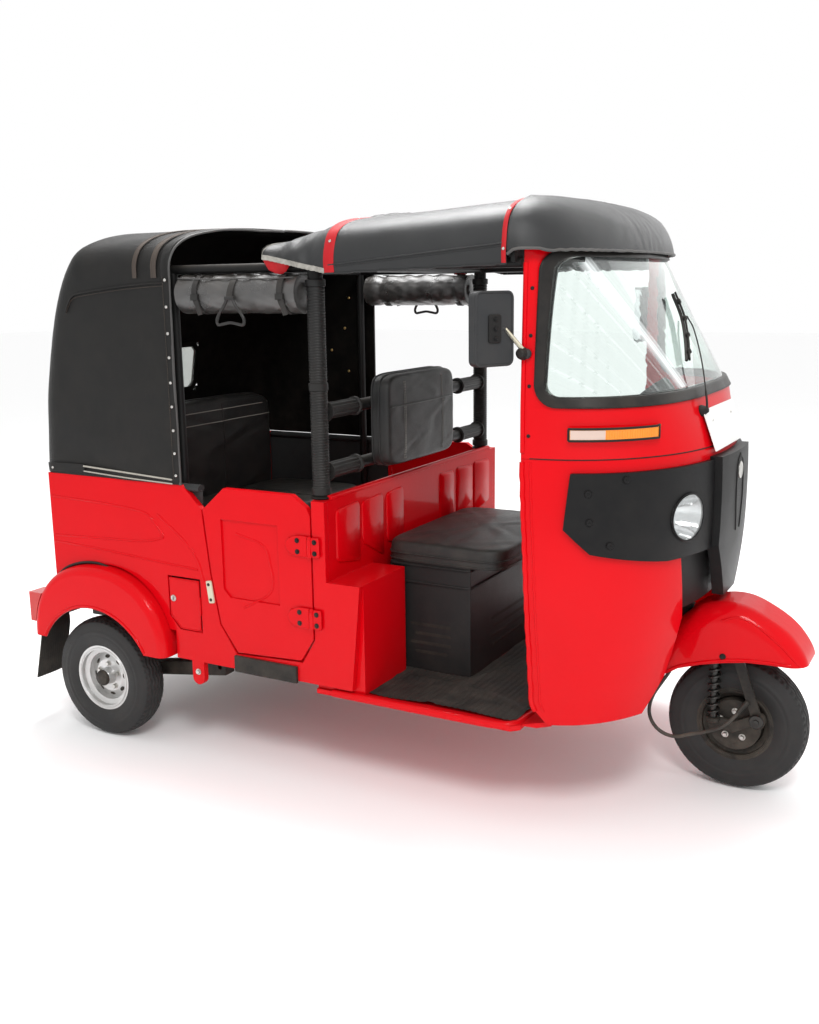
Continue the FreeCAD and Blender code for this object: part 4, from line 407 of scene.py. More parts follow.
def plate(outline, way, depth, chamfer=0.001):
    """A plate on a closed outline, as thick as its depth, with a chamfered front edge."""
    way = Vector(way).normalized()
    count = len(outline)
    middle = sum(outline, Vector()) / count
    verts = []
    for lift, inset in ((0, 0), (depth - chamfer, 0), (depth, chamfer)):
        for index, point in enumerate(outline):
            inward = (outline[(index + 1) % count] - outline[index - 1]).normalized().cross(way)
            inward = inward if inward.dot(middle - point) > 0 else -inward
            verts.append(point + inward * inset + way * lift)
    rows = [range(start, start + count) for start in range(0, len(verts), count)]
    return verts, stacked(rows) + [tuple(rows[2]), tuple(reversed(rows[0]))]


def hexed(place, way, across_flats, height, washer=1.5):
    """A hexagon bolt head with a chamfered top on a thin washer; sizes in millimetres."""
    radius = across_flats / math.sqrt(3)
    disc = lathed([(radius * 1.35, 0), (radius * 1.35, washer)], place, way, 20)
    seat = Vector(place) + Vector(way).normalized() * washer / 1000
    return gathered([disc, lathed([(radius, 0), (radius, height * 0.8), (radius * 0.82, height)],
                                  seat, way, 6)])


def screwed(place, way, radius, height):
    """A domed screw head with its slot left as a shallow step."""
    profile = ((1, 0), (1, 0.4), (0.8, 0.85), (0.35, 1), (0.3, 0.75))
    return lathed([(radius * wide, height * high) for wide, high in profile], place, way, 16)


CREASES = (((-1112, 667), (-900, 660), (-700, 648), (-485, 636)),
           ((-640, 802), (-590, 768), (-540, 732), (-504, 696), (-479, 658), (-462, 600)),
           ((-1108, 825), (-860, 818), (-700, 804), (-655, 775), (-618, 731)),
           ((-620, 727), (-700, 708), (-900, 698), (-1108, 689)))
DOOR_FOLD = ((-330, 768), (-231, 742), (-205, 690), (-203, 600), (-306, 534))
for side, sign in SIDES:
    inward, outward = (0, -sign, 0), (0, sign, 0)
    panel, door, door_body = f"body_side_{side}", f"door_{side}", f"{side}_door"
    ridges = [swept(laid(panel, [(x, sign * 600, z) for x, z in line], inward, -0.0015), 0.0045)
              for line in CREASES]
    joined(f"{panel}_creases", ridges, red_paint, sharp=80)
    fold = laid(door, [(x, sign * 600, z) for x, z in DOOR_FOLD], inward, -0.002)
    rod(f"{door}_fold", fold, 0.0048, red_paint, door_body)
    face = touch(door, (-0.08, sign * 0.9, 0.74), inward)[0].y
    post = touch(panel, (-0.02, sign * 0.9, 0.74), inward)[0].y
    door_leaves, post_leaves, door_bolts, post_bolts = [], [], [], []
    for low in (503, 725):
        shape = ((-58, low), (-58, low + 64), (-104, low + 64), (-136, low + 44),
                 (-136, low + 20), (-104, low))
        leaf = rounded([mm(x, 0, z) for x, z in shape], [0.004] * 2 + [0.02] * 4)
        door_leaves.append(plate([Vector((p.x, face, p.z)) for p in leaf], outward, 0.004, 0.0012))
        shape = ((-43, low + 2), (-43, low + 62), (-14, low + 62), (-14, low + 2))
        leaf = rounded([Vector((x / 1000, post, z / 1000)) for x, z in shape], 0.006)
        post_leaves.append(plate(leaf, outward, 0.005, 0.0012))
        pin = (-0.0495, sign * 0.6065, low / 1000)
        post_leaves.append(lathed([(5, 0), (6.5, 2), (6.5, 62), (5, 64)], pin, (0, 0, 1), 16))
        for z in ((low + lift) / 1000 for lift in (15, 49)):
            door_bolts.append(hexed((-0.092, face + sign * 0.004, z), outward, 10, 4))
            post_bolts.append(hexed((-0.030, post + sign * 0.005, z), outward, 10, 4))
    joined(f"{door}_hinge_leaves", door_leaves, red_paint, door_body)
    joined(f"{door}_hinge_bolts", door_bolts, black_and_painted_shade, door_body)
    joined(f"{panel}_hinge_leaves", post_leaves, red_paint)
    joined(f"{panel}_hinge_bolts", post_bolts, black_and_painted_shade)
    wall = touch(panel, (-0.45, sign * 0.9, 0.57), inward)[0].y
    shape = ((-452, 604), (-431, 607), (-421, 535), (-442, 532))
    catch = rounded([Vector((x / 1000, wall, z / 1000)) for x, z in shape], 0.005)
    piece(f"{panel}_catch", *plate(catch, outward, 0.006, 0.0015), catch_cream)
    screws = [screwed((x, wall + sign * 0.006, z), outward, 5, 3)
              for x, z in ((-0.440, 0.594), (-0.433, 0.545))]
    joined(f"{panel}_catch_screws", screws, black_and_painted_shade)
    foot = touch(panel, (-0.504, sign * 0.9, 0.292), inward)[0]
    piece(f"{panel}_lug_bolt", *hexed(foot, outward, 13, 6, 2), bright_zinc)

# Fuel flap: a small steel door on the right side, with a lock and two screwed hinge knuckles.
# A narrow folded edge runs around it.
flap_y = touch("fuel_flap", (-0.54, -0.9, 0.55), (0, 1, 0))[0].y
lock = lathed([(11, 0), (11, 2), (9, 3.2), (8, 2.6), (3, 2.6), (3, 2.2)],
              (-0.592, flap_y, 0.529), (0, -1, 0), 28)
piece("fuel_flap_lock", *lock, bright_zinc, "flap")
# The keyhole is a thin dark plate on the lock: painted shade in place of an opening.
shape = ((-593.4, 523), (-590.6, 523), (-590.6, 535), (-593.4, 535))
keyhole = rounded([Vector((x / 1000, flap_y - 0.0027, z / 1000)) for x, z in shape], 0.001)
piece("fuel_flap_keyhole_painted_shade", *plate(keyhole, (0, -1, 0), 0.0006, 0.0002), black_and_painted_shade, "flap")
shape = ((-607, 597), (-485, 594), (-486, 432), (-568, 432), (-606, 474))
flap_edge = rounded([mm(x, 0, z) for x, z in shape], 0.012)
flap_rim = hits("fuel_flap", [(p.x, -0.9, p.z) for p in flap_edge + flap_edge[:1]], (0, 1, 0))
rod("fuel_flap_fold", flap_rim, 0.0022, red_paint, "flap")

# Partition: a pressed steel wall behind the driver, stiffened by embossed panels.
# Its top edge is rolled into a round flange, and the steps beside the seat are part of it.
embossed = []
for sign in (-1, 1):
    for inner, outer, cut in ((405, 540, 0), (262, 392, 30), (130, 240, 0)):
        shape = ((inner, 868), (outer, 862), (outer, 700 + cut), (inner, 676 - cut / 2))
        field = rounded([Vector((0.0, sign * y / 1000, z / 1000)) for y, z in shape], 0.02)
        spots = hits("partition", [(0.3, p.y, p.z) for p in field], (-1, 0, 0))
        if len(spots) == len(field):
            embossed.append(plate(spots, (1, 0, 0), 0.005, 0.0045))
joined("partition_pressings", embossed, red_paint, sharp=60)
rolled_edge = [Vector((-0.010, y / 1000, 0.897)) for y in range(-556, 560, 30)]
rod("partition_rolled_edge", rolled_edge, 0.011, red_paint, sides=12, up_hint=(1, 0, 0))


# Cab floor: a red pan with a thick rolled rim, under a moulded mat of ribbed black rubber.
# The mat is only laid in, so its edges lift and it has soft creases.
def grid_faces(rows, columns, start=0):
    """Quads on a grid, told by how many rows and columns of points it has."""
    corners = [start + row * columns + column for row in range(rows - 1) for column in range(columns - 1)]
    return [(a, a + 1, a + columns + 1, a + columns) for a in corners]


mat_rubber = finish("mat_rubber", (0.014, 0.014, 0.014), (0.028, 0.026, 0.024), 0.62, dust=0.08, reach=1.2,
                    fine=700, broad=14, bump=0.0008)
for side, sign in SIDES:
    shape = ((8, 588), (200, 588), (420, 588), (548, 584), (592, 560), (603, 500), (606, 440))
    rod(f"floor_rim_{side}", fair_line([(x, sign * y, 306) for x, y in shape]), 0.0125, red_paint, sides=12)
MAT_COLUMNS, MAT_ROWS, MAT_LONG, MAT_WIDE = 118, 150, 584, 1120
SEAT_BOX_LONG, SEAT_BOX_HALF_WIDE = 336, 306
mat_points = []
for row in range(MAT_ROWS + 1):
    for column in range(MAT_COLUMNS + 1):
        x, y = 12 + MAT_LONG * column / MAT_COLUMNS, -560 + MAT_WIDE * row / MAT_ROWS
        rib = 1.6 * max(0.0, math.sin(x * 2 * math.pi / 19.5)) ** 0.6
        crease = 5.0 * math.exp(-((x - 430 - 0.22 * y + 16 * math.sin(y / 70)) / 16) ** 2)
        crease += 4.0 * math.exp(-((y + 420 + 0.3 * x - 150 * math.sin(x / 260)) / 15) ** 2)
        wave = 2.2 * math.sin(x / 61 + y / 83) * math.sin(y / 47 - x / 90) + 2.2
        curl = 7.0 * max(0.0, (abs(y) - 500) / 60) ** 2 * (0.5 + 0.5 * math.sin(x / 55 + 1))
        curl += 5.0 * max(0.0, (x - 560) / 36) ** 2
        mat_points.append(mm(x, y, 311.5 + rib + crease + wave + curl))
mat_faces = []
for ring in grid_faces(MAT_ROWS + 1, MAT_COLUMNS + 1):
    centre = sum((mat_points[i] for i in ring), Vector()) * 250
    if not (centre.x < SEAT_BOX_LONG and abs(centre.y) < SEAT_BOX_HALF_WIDE):
        mat_faces.append(ring)
floor_mat = piece("floor_mat", mat_points, mat_faces, mat_rubber, sharp=75)


# Nose: headlamp surrounds and the centre fairing are moulded black plastic, screwed over the steel apron.
# The cowl above is steel too, and a dark shut line shows where it meets the apron.
def round_nose(node, middle, reach, z, half_turn, steps):
    """Where level lines from round the nose meet a node: its spot, or None, and direction at each step."""
    out = []
    for step in range(steps + 1):
        turn = math.radians(-half_turn + 2 * half_turn * step / steps)
        way = Vector((math.cos(turn), math.sin(turn), 0))
        out.append(touch(node, (middle + reach * way.x, reach * way.y, z), -way))
    return out


nose_plastic = finish("nose_plastic", (0.005, 0.005, 0.006), (0.010, 0.010, 0.010), 0.40, gloss=0.14,
                      dust=0.03, reach=1.3, fine=1500, broad=7, edge=0.003)
coat(nose_plastic, "nose_trim", "nose_fairing")
waist_line = [spot for spot, _ in round_nose("cowl_upper", 0.606, 1.2, 1.0603, 90, 72) if spot]
rod("cowl_shut_line", waist_line, 0.0016, black_and_painted_shade, sides=6)
trim_screws = []
for sign in (-1, 1):
    for x, z in ((0.786, 0.974), (0.791, 0.898), (0.838, 0.835), (0.868, 1.008)):
        trim_screws.append(screwed(*touch("nose_trim", (x, sign * 0.9, z), (0, -sign, 0)), 10, 5.5))
joined("surround_screws", trim_screws, nose_plastic)
fairing_ridges = []
for sign in (-1, 1):
    line = [(1500, sign * y, z) for y, z in ((0, 1022), (34, 990), (40, 900), (22, 800))]
    fairing_ridges.append(swept(laid("nose_fairing", line, (-1, 0, 0), -0.001), 0.004))
joined("fairing_ridges", fairing_ridges, nose_plastic, sharp=80)
badge = lathed([(25, 0), (25, 2.4), (23, 3.6), (20, 3.2), (19, 2.2), (2, 2.2)],
               *touch("nose_fairing", (1.5, 0, 0.975), (-1, 0, 0)), 40)
piece("fairing_badge", *badge, bright_zinc)

# Headlamps: a bright steel bowl with a bulb behind a moulded, slightly domed lens.
# Upright flutes on the lens spread the light; a plastic ring holds its edge.
bowl_chrome = finish("bowl_chrome", (0.78, 0.78, 0.78), (0.7, 0.7, 0.71), 0.12, dust=0.0, fine=60,
                     bump=0.0001, rough_swing=0.03, Metallic=1.0)
lens_glass = finish("lens_glass", (0.93, 0.95, 0.95), (0.9, 0.93, 0.93), 0.05, dust=0.06, reach=1.6, fine=90,
                    bump=0.0002, rough_swing=0.02, gloss=0.5, Transmission_Weight=0.92, IOR=1.45)
bulb_glass = finish("bulb_glass", (0.8, 0.8, 0.78), (0.7, 0.7, 0.68), 0.2, dust=0.0, fine=60, bump=0.0001)
LENS_RINGS, LENS_STEPS, LENS_RADIUS, LAMP_Y, LAMP_Z = 12, 56, 65.0, 300, 885
for side, sign in SIDES:
    front_points, back_points, bowl_points = [], [], []
    for ring in range(LENS_RINGS + 1):
        reach = LENS_RADIUS * ring / LENS_RINGS
        for turn in turns(LENS_STEPS):
            y, z = sign * LAMP_Y + reach * math.cos(turn), LAMP_Z + reach * math.sin(turn)
            spot, _ = touch("headlamps", (1.5, y / 1000, z / 1000), (-1, 0, 0))
            x = spot.x if spot else front_points[-1].x
            flute = 0.0005 * math.cos(y * 2 * math.pi / 7) * (reach < 58)
            front_points.append(Vector((x + 0.001 + flute, y / 1000, z / 1000)))
            back_points.append(Vector((x - 0.004, y / 1000, z / 1000)))
    rows = [range(start, start + LENS_STEPS) for start in range(0, 2 * len(front_points), LENS_STEPS)]
    fronts, backs = rows[:LENS_RINGS + 1], rows[LENS_RINGS + 1:]
    lens_faces = stacked(fronts) + stacked(backs) + ring_faces(fronts[-1], backs[-1])
    headlamp = piece(f"headlamp_lens_{side}", front_points + back_points, lens_faces, lens_glass)
    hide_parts("headlamps")
    rim_ring = front_points[-LENS_STEPS:]
    for reach, depth in ((64.5, 4), (62, 12), (54, 30), (40, 48), (24, 60), (12, 64)):
        slope = max(0.0, 1 - depth / 40)
        for rim_point, turn in zip(rim_ring, turns(LENS_STEPS)):
            x = rim_point.x * 1000 * slope + 962 * (1 - slope) - depth
            bowl_points.append(mm(x, sign * LAMP_Y + reach * math.cos(turn), LAMP_Z + reach * math.sin(turn)))
    piece(f"headlamp_bowl_{side}", bowl_points, stacked(rows[:6]) + [tuple(rows[5])], bowl_chrome)
    bulb = lathed([(7, 0), (9, 8), (8, 22), (4, 30), (0.5, 32)],
                  mm(899, sign * LAMP_Y, LAMP_Z), (1, 0, 0), 20)
    piece(f"headlamp_bulb_{side}", *bulb, bulb_glass)
    rim_line = [p - Vector((0.0005, 0, 0)) for p in rim_ring + rim_ring[:1]]
    rod(f"headlamp_ring_{side}", rim_line, 0.0032, nose_plastic)

# Front indicators: moulded amber lenses with a clear third for the side lamp, in a dark rubber frame.
# Fine upright ribs are moulded into the amber part, and each lens is clipped to the cowl's curve.
amber = finish("amber_lens", (0.82, 0.25, 0.012), (0.74, 0.19, 0.008), 0.18, dust=0.05, reach=1.6, fine=120,
               bump=0.0003, rough_swing=0.04, Coat_Weight=0.6, Emission_Color=(1, 0.32, 0.02, 1),
               Emission_Strength=0.06)
side_lens = finish("side_lens", (0.60, 0.45, 0.38), (0.50, 0.38, 0.33), 0.2, dust=0.04, reach=1.6, fine=120,
                   bump=0.0003, rough_swing=0.04, Coat_Weight=0.3)
coat(amber, "front_indicators")
for side, sign in SIDES:
    lens = [v.co for v in CAD["front_indicators"].data.vertices if v.co.y * sign > 0]
    back, front = min(p.x for p in lens), max(p.x for p in lens)
    low, high = min(p.z for p in lens), max(p.z for p in lens)
    long, tall = front - back, high - low

    def over(along, rise, lift=0.0):
        """A point on the lens, told by its way from the rear end and from the lower edge."""
        slant = sign * 0.56 * (1 - 0.275 * along / long)
        way = Vector((back + along - 0.60, slant, 0)).normalized()
        return touch("front_indicators", Vector((0.60, 0, low + rise)) + way * 1.4, -way)[0] + way * lift

    frame_line = [over(0.001 + (long - 0.002) * k / 40, 0.0012) for k in range(41)]
    frame_line += [Vector((front + 0.0005, sign * 0.392, low + tall * k / 8)) for k in range(9)]
    frame_line += [over(long - 0.001 - (long - 0.002) * k / 40, tall - 0.0012) for k in range(41)]
    frame_line += [over(0.001, tall - tall * k / 8) for k in range(1, 8)]
    rod(f"indicator_frame_{side}", frame_line + frame_line[:1], 0.0032, black_and_painted_shade)
    cell = [over(0.005 + long * 0.38 * c / 18, 0.005 + (tall - 0.010) * r / 8, 0.0008 + 0.0004 * (c % 2))
            for r in range(9) for c in range(19)]
    piece(f"indicator_side_lens_{side}", cell, grid_faces(9, 19), side_lens)
    ribs = [swept([over(long * (0.42 + 0.028 * k), 0.006 + (tall - 0.012) * r / 6, 0.0002) for r in range(7)],
                  0.0009, 6) for k in range(20)]
    joined(f"indicator_ribs_{side}", ribs, amber, sharp=80)

# Number plate: a pressed sheet with rounded corners, enamelled white and left blank.
# Two screws with domed heads hold it to the cowl below the windscreen.
plate_white = finish("plate_white", (0.82, 0.82, 0.80), (0.75, 0.75, 0.73), 0.3, dust=0.05, reach=1.6,
                     fine=100, broad=12, bump=0.0002)
coat(plate_white, "number_plate")
plate_heights = [v.co.z for v in CAD["number_plate"].data.vertices]
bolt_z = min(plate_heights) + (max(plate_heights) - min(plate_heights)) * 0.72
plate_bolts = [screwed(*touch("number_plate", (1.6, y, bolt_z), (-1, 0, 0)), 5, 2.6) for y in (-0.110, 0.110)]
joined("plate_bolts", plate_bolts, bright_zinc)

# Windscreen: laminated glass with a green tint, held in one thick rounded rubber section.
# A pale film lies on it in one slanting band with fine streaks: partly dust where the wiper and cloths have
# passed, partly a painted reflection on the glass.
screen_glass = finish("screen_glass", (0.86, 0.95, 0.91), (0.84, 0.94, 0.90), 0.0, dust=0.0, fine=20,
                      bump=0.00002, rough_swing=0.0, gloss=0.35, Transmission_Weight=1.0, IOR=1.45)
seal_rubber = finish("seal_rubber", (0.006, 0.006, 0.006), (0.012, 0.011, 0.011), 0.36, dust=0.12, reach=1.8,
                     bump=0.0004, edge=0.009)
coat(screen_glass, "windscreen")
coat(seal_rubber, "windscreen_seal")
# The film's pale colour and alpha paint dust and a reflection on the glass together.
film = bpy.data.materials.new("screen_dust_and_reflection_film")
film.use_nodes = True
film_tree = film.node_tree
film_shader = film_tree.nodes["Principled BSDF"]
film_shader.inputs["Base Color"].default_value = (0.88, 0.93, 0.93, 1)
film_shader.inputs["Roughness"].default_value = 0.35
film_place = shader_node(film_tree, "TexCoord", {}).outputs["Object"]
film_split = shader_node(film_tree, "SeparateXYZ", {0: film_place}).outputs
film_across = math_node(film_tree, "ADD", math_node(film_tree, "MULTIPLY", film_split["Z"], 0.466),
                        math_node(film_tree, "MULTIPLY", film_split["Y"], 0.885))
film_away = math_node(film_tree, "ABSOLUTE", math_node(film_tree, "SUBTRACT", film_across, 0.385), 0.0)
dust_and_reflection_band = math_node(film_tree, "SUBTRACT", 1.0, math_node(film_tree, "MULTIPLY", film_away, 24.0), True)
film_line = shader_node(film_tree, "CombineXYZ", {0: film_across}).outputs[0]
film_streaks = shader_node(film_tree, "TexNoise",
                           {"Scale": 70, "Detail": 3, "Vector": film_line}).outputs["Fac"]
film_fine = math_node(film_tree, "MULTIPLY", math_node(film_tree, "SUBTRACT", film_streaks, 0.50, True), 1.3)
film_thick = math_node(film_tree, "ADD", math_node(film_tree, "MULTIPLY", dust_and_reflection_band, 0.9), film_fine)
film_share = math_node(film_tree, "MULTIPLY", film_thick, math_node(film_tree, "ADD", film_streaks, 0.25))
film_tree.links.new(math_node(film_tree, "ADD", film_share, 0.04, True), film_shader.inputs["Alpha"])
FILM_COLUMNS, FILM_ROWS, FILM_FOOT, FILM_TALL = 48, 30, 1.215, 0.375
film_points = []
for row in range(FILM_ROWS + 1):
    row_height = FILM_FOOT + FILM_TALL * row / FILM_ROWS
    for spot, normal in round_nose("windscreen", 0.62, 0.9, row_height, 84, FILM_COLUMNS):
        film_points.append(spot + normal * 0.0006 if spot else None)
film_faces = [ring for ring in grid_faces(FILM_ROWS + 1, FILM_COLUMNS + 1)
              if all(film_points[i] for i in ring)]
kept = sorted({i for face in film_faces for i in face})
renumbered = {old: new for new, old in enumerate(kept)}
film_faces = [[renumbered[i] for i in face] for face in film_faces]
piece("screen_dust_and_reflection_film", [film_points[i] for i in kept], film_faces, film)

# Wiper: a pressed black arm on a spindle in the cowl, with a rubber blade under a ribbed carrier.
# It parks to the right of the middle, leaning along the pillar.
spindle = lathed([(16, 0), (16, 5), (12, 12), (9, 20), (4, 22)], mm(975, -162, 1159), (0.95, -0.08, 0.29))
arm = fair_line(((992, -164, 1166), (985, -150, 1200), (948, -70, 1290), (900, 20, 1372), (866, 66, 1410)))
blade = fair_line(((916, -126, 1292), (892, -60, 1350), (862, 0, 1410), (826, 28, 1474)))
wiper_parts = [spindle, swept(arm, [0.007] * 10 + [0.0045] * (len(arm) - 10), flat=0.45, up_hint=(1, 0, 0))]
for x, z, radius, flat in ((12, 6, 0.0065, 0.5), (4, 2, 0.0035, 1.4)):
    wiper_parts.append(swept([p + mm(x, 0, z) for p in blade], radius, flat=flat, up_hint=(1, 0, 0)))
for place in blade[3::6]:
    wiper_parts.append(lathed([(8, 0), (8, 9), (6, 11)], place + mm(7, 0, 3), (0.9, 0, 0.45), 12))
joined("wiper", wiper_parts, black_and_painted_shade)

# Mirrors: round-cornered plastic housings with a glass pane, screwed to bracket plates on bent pale arms.
# A ribbed rubber boot on the pillar clamps each arm.
mirror_plastic = finish("mirror_plastic", (0.020, 0.022, 0.024), (0.032, 0.033, 0.035), 0.38, dust=0.1,
                        reach=1.8, fine=1100, bump=0.0005, edge=0.003)
mirror_glass = finish("mirror_glass", (0.62, 0.66, 0.68), (0.56, 0.6, 0.62), 0.05, dust=0.04, reach=1.8,
                      fine=60, bump=0.0001, rough_swing=0.03, Metallic=1.0)
MIRROR_X, MIRROR_Y, MIRROR_Z, MIRROR_TOE = 0.554, 0.640, 1.400, math.radians(27)
ARM_WAY, ARM_START, ARM_LOW = Vector((0.891, 0.454)), 0.021, 1.352
coat(mirror_plastic, "mirrors")
CAD["mirrors"].data.materials.append(catch_cream)
for polygon in CAD["mirrors"].data.polygons:
    spot = Vector((polygon.center.x - MIRROR_X, abs(polygon.center.y) - MIRROR_Y))
    polygon.material_index = int(spot.dot(ARM_WAY) > ARM_START and polygon.center.z > ARM_LOW)
for side, sign in SIDES:
    back_way = Vector((-math.cos(MIRROR_TOE), -sign * math.sin(MIRROR_TOE), 0))
    centre = Vector((MIRROR_X, sign * MIRROR_Y, MIRROR_Z))
    across = Vector((0, 0, 1)).cross(back_way).normalized()

    def oblong(half_wide, half_tall, radius, back):
        """An upright outline with rounded corners, parallel to the glass."""
        corners = ((-half_wide, -half_tall), (half_wide, -half_tall), (half_wide, half_tall),
                   (-half_wide, half_tall))
        return rounded([centre + across * a + Vector((0, 0, b)) + back_way * back
                        for a, b in corners], radius)

    pane = plate(oblong(0.054, 0.087, 0.016, 0.0132), back_way, 0.0012, 0.0008)
    piece(f"mirror_glass_{side}", *pane, mirror_glass)
    rim = oblong(0.059, 0.092, 0.018, -0.0128)
    rod(f"mirror_rim_{side}", rim + rim[:1], 0.0034, mirror_plastic)
    lug = plate(oblong(0.02, 0.036, 0.008, -0.013), -back_way, 0.005, 0.002)
    piece(f"mirror_bracket_{side}", *lug, black_and_painted_shade)
    studs = [hexed(centre + mm(0, 0, z) - back_way * 0.018, -back_way, 8, 3, 1) for z in (-24, 0, 24)]
    joined(f"mirror_studs_{side}", studs, frame_black)
    profile = [(15, 0), (17, 4), (14, 9), (16, 13), (12, 18), (13, 22), (8, 27)]
    piece(f"mirror_boot_{side}", *lathed(profile, mm(612, sign * 566, 1334), (0.0, sign, 0.1)), seal_rubber)

# Dash: a cream moulded shelf screwed behind the glass, right across the cab.
# A round instrument pod of dark plastic stands on it, beside the column.
dash_cream = finish("dash_cream", (0.56, 0.54, 0.45), (0.48, 0.46, 0.38), 0.5, dust=0.15, reach=1.6,
                    fine=1000, bump=0.0005, edge=0.004)
coat(dash_cream, "dash_shelf")
profile = [(48, 0), (54, 6), (56, 34), (50, 46), (46, 44), (44, 40), (4, 40)]
piece("instrument_pod", *lathed(profile, mm(812, 0, 1166), (-0.62, 0, 0.78), 36), mirror_plastic)

# Tyres: cross-ply 4.00-8 rubber with wavy ribs round the tread and moulded rings on the sidewalls.
# Each is one closed casing on a pressed rim, and road dust lies in the grooves.
tyre_rubber = finish("tyre_rubber", (0.007, 0.007, 0.008), (0.014, 0.014, 0.014), 0.6, gloss=0.4, dust=0.03,
                     reach=0.9, fine=1300, broad=16, bump=0.0007)
WHEELS = (("front", "front_wheel", FRONT_AXLE),
          ("rear_right", "rear_wheel_right", Vector((-0.915, -0.575, 0.207))),
          ("rear_left", "rear_wheel_left", Vector((-0.915, 0.575, 0.207))))
TYRE_STEPS, TREAD_COLUMNS = 300, 54
GROOVES, GROOVE_DEPTH, WEAVE = (-0.56, -0.19, 0.19, 0.56), 0.0048, 0.0032
for wheel, wheel_body, axle in WHEELS:
    casing = [v.co - axle for v in CAD[f"{wheel}_tyre"].data.vertices]
    half_wide = max(abs(p.y) for p in casing)
    bead_radius = min(math.hypot(p.x, p.z) for p in casing)
    wide_radius = bead_radius + (TYRE_RADIUS - bead_radius) * 0.46
    sidewall = [(bead_radius + 0.001, 0.70), (bead_radius + 0.006, 0.79), (bead_radius + 0.012, 0.84)]
    for share in (0.0, 0.2, 0.4, 0.6, 0.8, 1.0):
        reach = bead_radius + 0.016 + (wide_radius - bead_radius - 0.016) * share
        sidewall.append((reach, 0.87 + 0.125 * math.sin(share * math.pi * 0.5)))
    for step, wide in ((0.004, 0.975), (0.006, 0.995), (0.014, 0.985), (0.016, 0.965), (0.024, 0.945)):
        sidewall.append((wide_radius + step, wide))
    sidewall += [(0.1925, 0.88), (0.1965, 0.83)]
    sidewall = [(reach, half_wide * wide) for reach, wide in sidewall]
    tread_half = half_wide * 0.80
    tread = [tread_half * (1 - 2 * column / TREAD_COLUMNS) for column in range(TREAD_COLUMNS + 1)]
    tyre_points = []
    for turn in turns(TYRE_STEPS):
        profile = list(sidewall)
        sipe = abs(((turn * 60 / (2 * math.pi)) % 1.0) - 0.5)
        for y in tread:
            away = min(abs(y - groove * tread_half - WEAVE * math.sin(turn * 30)) for groove in GROOVES)
            depth = GROOVE_DEPTH * max(0.0, min(1.0, (0.0036 - away) / 0.0012))
            if abs(y) > tread_half * 0.80 and sipe < 0.14:
                depth = max(depth, 0.0032)
            profile.append((TYRE_RADIUS - 0.0085 * abs(y / tread_half) ** 2.4 - depth, y))
        profile += [(reach, -y) for reach, y in reversed(sidewall)]
        tyre_points += [axle + Vector((r * math.cos(turn), y, r * math.sin(turn))) for r, y in profile]
    rows = [range(start, start + len(profile)) for start in range(0, len(tyre_points), len(profile))]
    tyre = piece(f"{wheel}_tyre_tread", tyre_points, stacked(rows + rows[:1]), tyre_rubber,
                 wheel_body, sharp=50)
    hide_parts(f"{wheel}_tyre")

# Rims: two pressed steel halves bolted round a hub; sprayed silver at the rear and black at the front.
# Hand holes pierce the dish and are drawn as dark ovals of painted shade; five nuts hold the wheel, and a cap
# closes the hub.
rim_silver = finish("rim_silver", (0.62, 0.62, 0.62), (0.52, 0.52, 0.51), 0.3, dust=0.12, fine=300,
                    bump=0.0004, edge=0.002, Metallic=0.75)
coat(rim_silver, "rear_right_rim", "rear_left_rim")
coat(frame_black, "front_rim")
for wheel, wheel_body, axle in WHEELS:
    rim = f"{wheel}_rim"
    for side, sign in SIDES:
        if axle.y * sign < 0:
            continue
        inward, outward = (0, -sign, 0), (0, sign, 0)
        nuts, holes = [], []
        for turn in turns(5, 0.3):
            start = axle + Vector((0.043 * math.cos(turn), sign * 0.3, 0.043 * math.sin(turn)))
            nuts.append(hexed(touch(rim, start, inward)[0], outward, 13, 8, 1.5))
        # Each hand hole is a thin dark oval on the dish: painted shade in place of an opening.
        for turn in turns(8, 0.1):
            radial = Vector((math.cos(turn), 0, math.sin(turn)))
            spot, normal = touch(rim, axle + radial * 0.0665 + Vector((0, sign * 0.3, 0)), inward)
            around = normal.cross(radial).normalized()
            climb = around.cross(normal).normalized()
            oval = [spot + around * 0.011 * math.cos(a) + climb * 0.0065 * math.sin(a) for a in turns(20)]
            holes.append(plate(oval, normal, 0.0005, 0.0002))
        joined(f"{rim}_nuts_{side}", nuts, bright_zinc, wheel_body)
        joined(f"{rim}_hand_holes_{side}", holes, black_and_painted_shade, wheel_body)
        if wheel != "front":
            hub = Vector((axle.x, touch(rim, axle + Vector((0.024, sign * 0.3, 0)), inward)[0].y, axle.z))
            cap = lathed([(27, 0), (27, 6), (24, 12), (14, 15), (3, 16)], hub, outward, 32)
            piece(f"{rim}_cap", *cap, frame_black, wheel_body)
        lip = [axle + Vector((0.1045 * math.cos(a), sign * 0.3, 0.1045 * math.sin(a)))
               for a in turns(64) + [0]]
        rod(f"{rim}_lip_{side}", hits(rim, lip, inward), 0.0028,
            rim_silver if axle.y else frame_black, wheel_body)

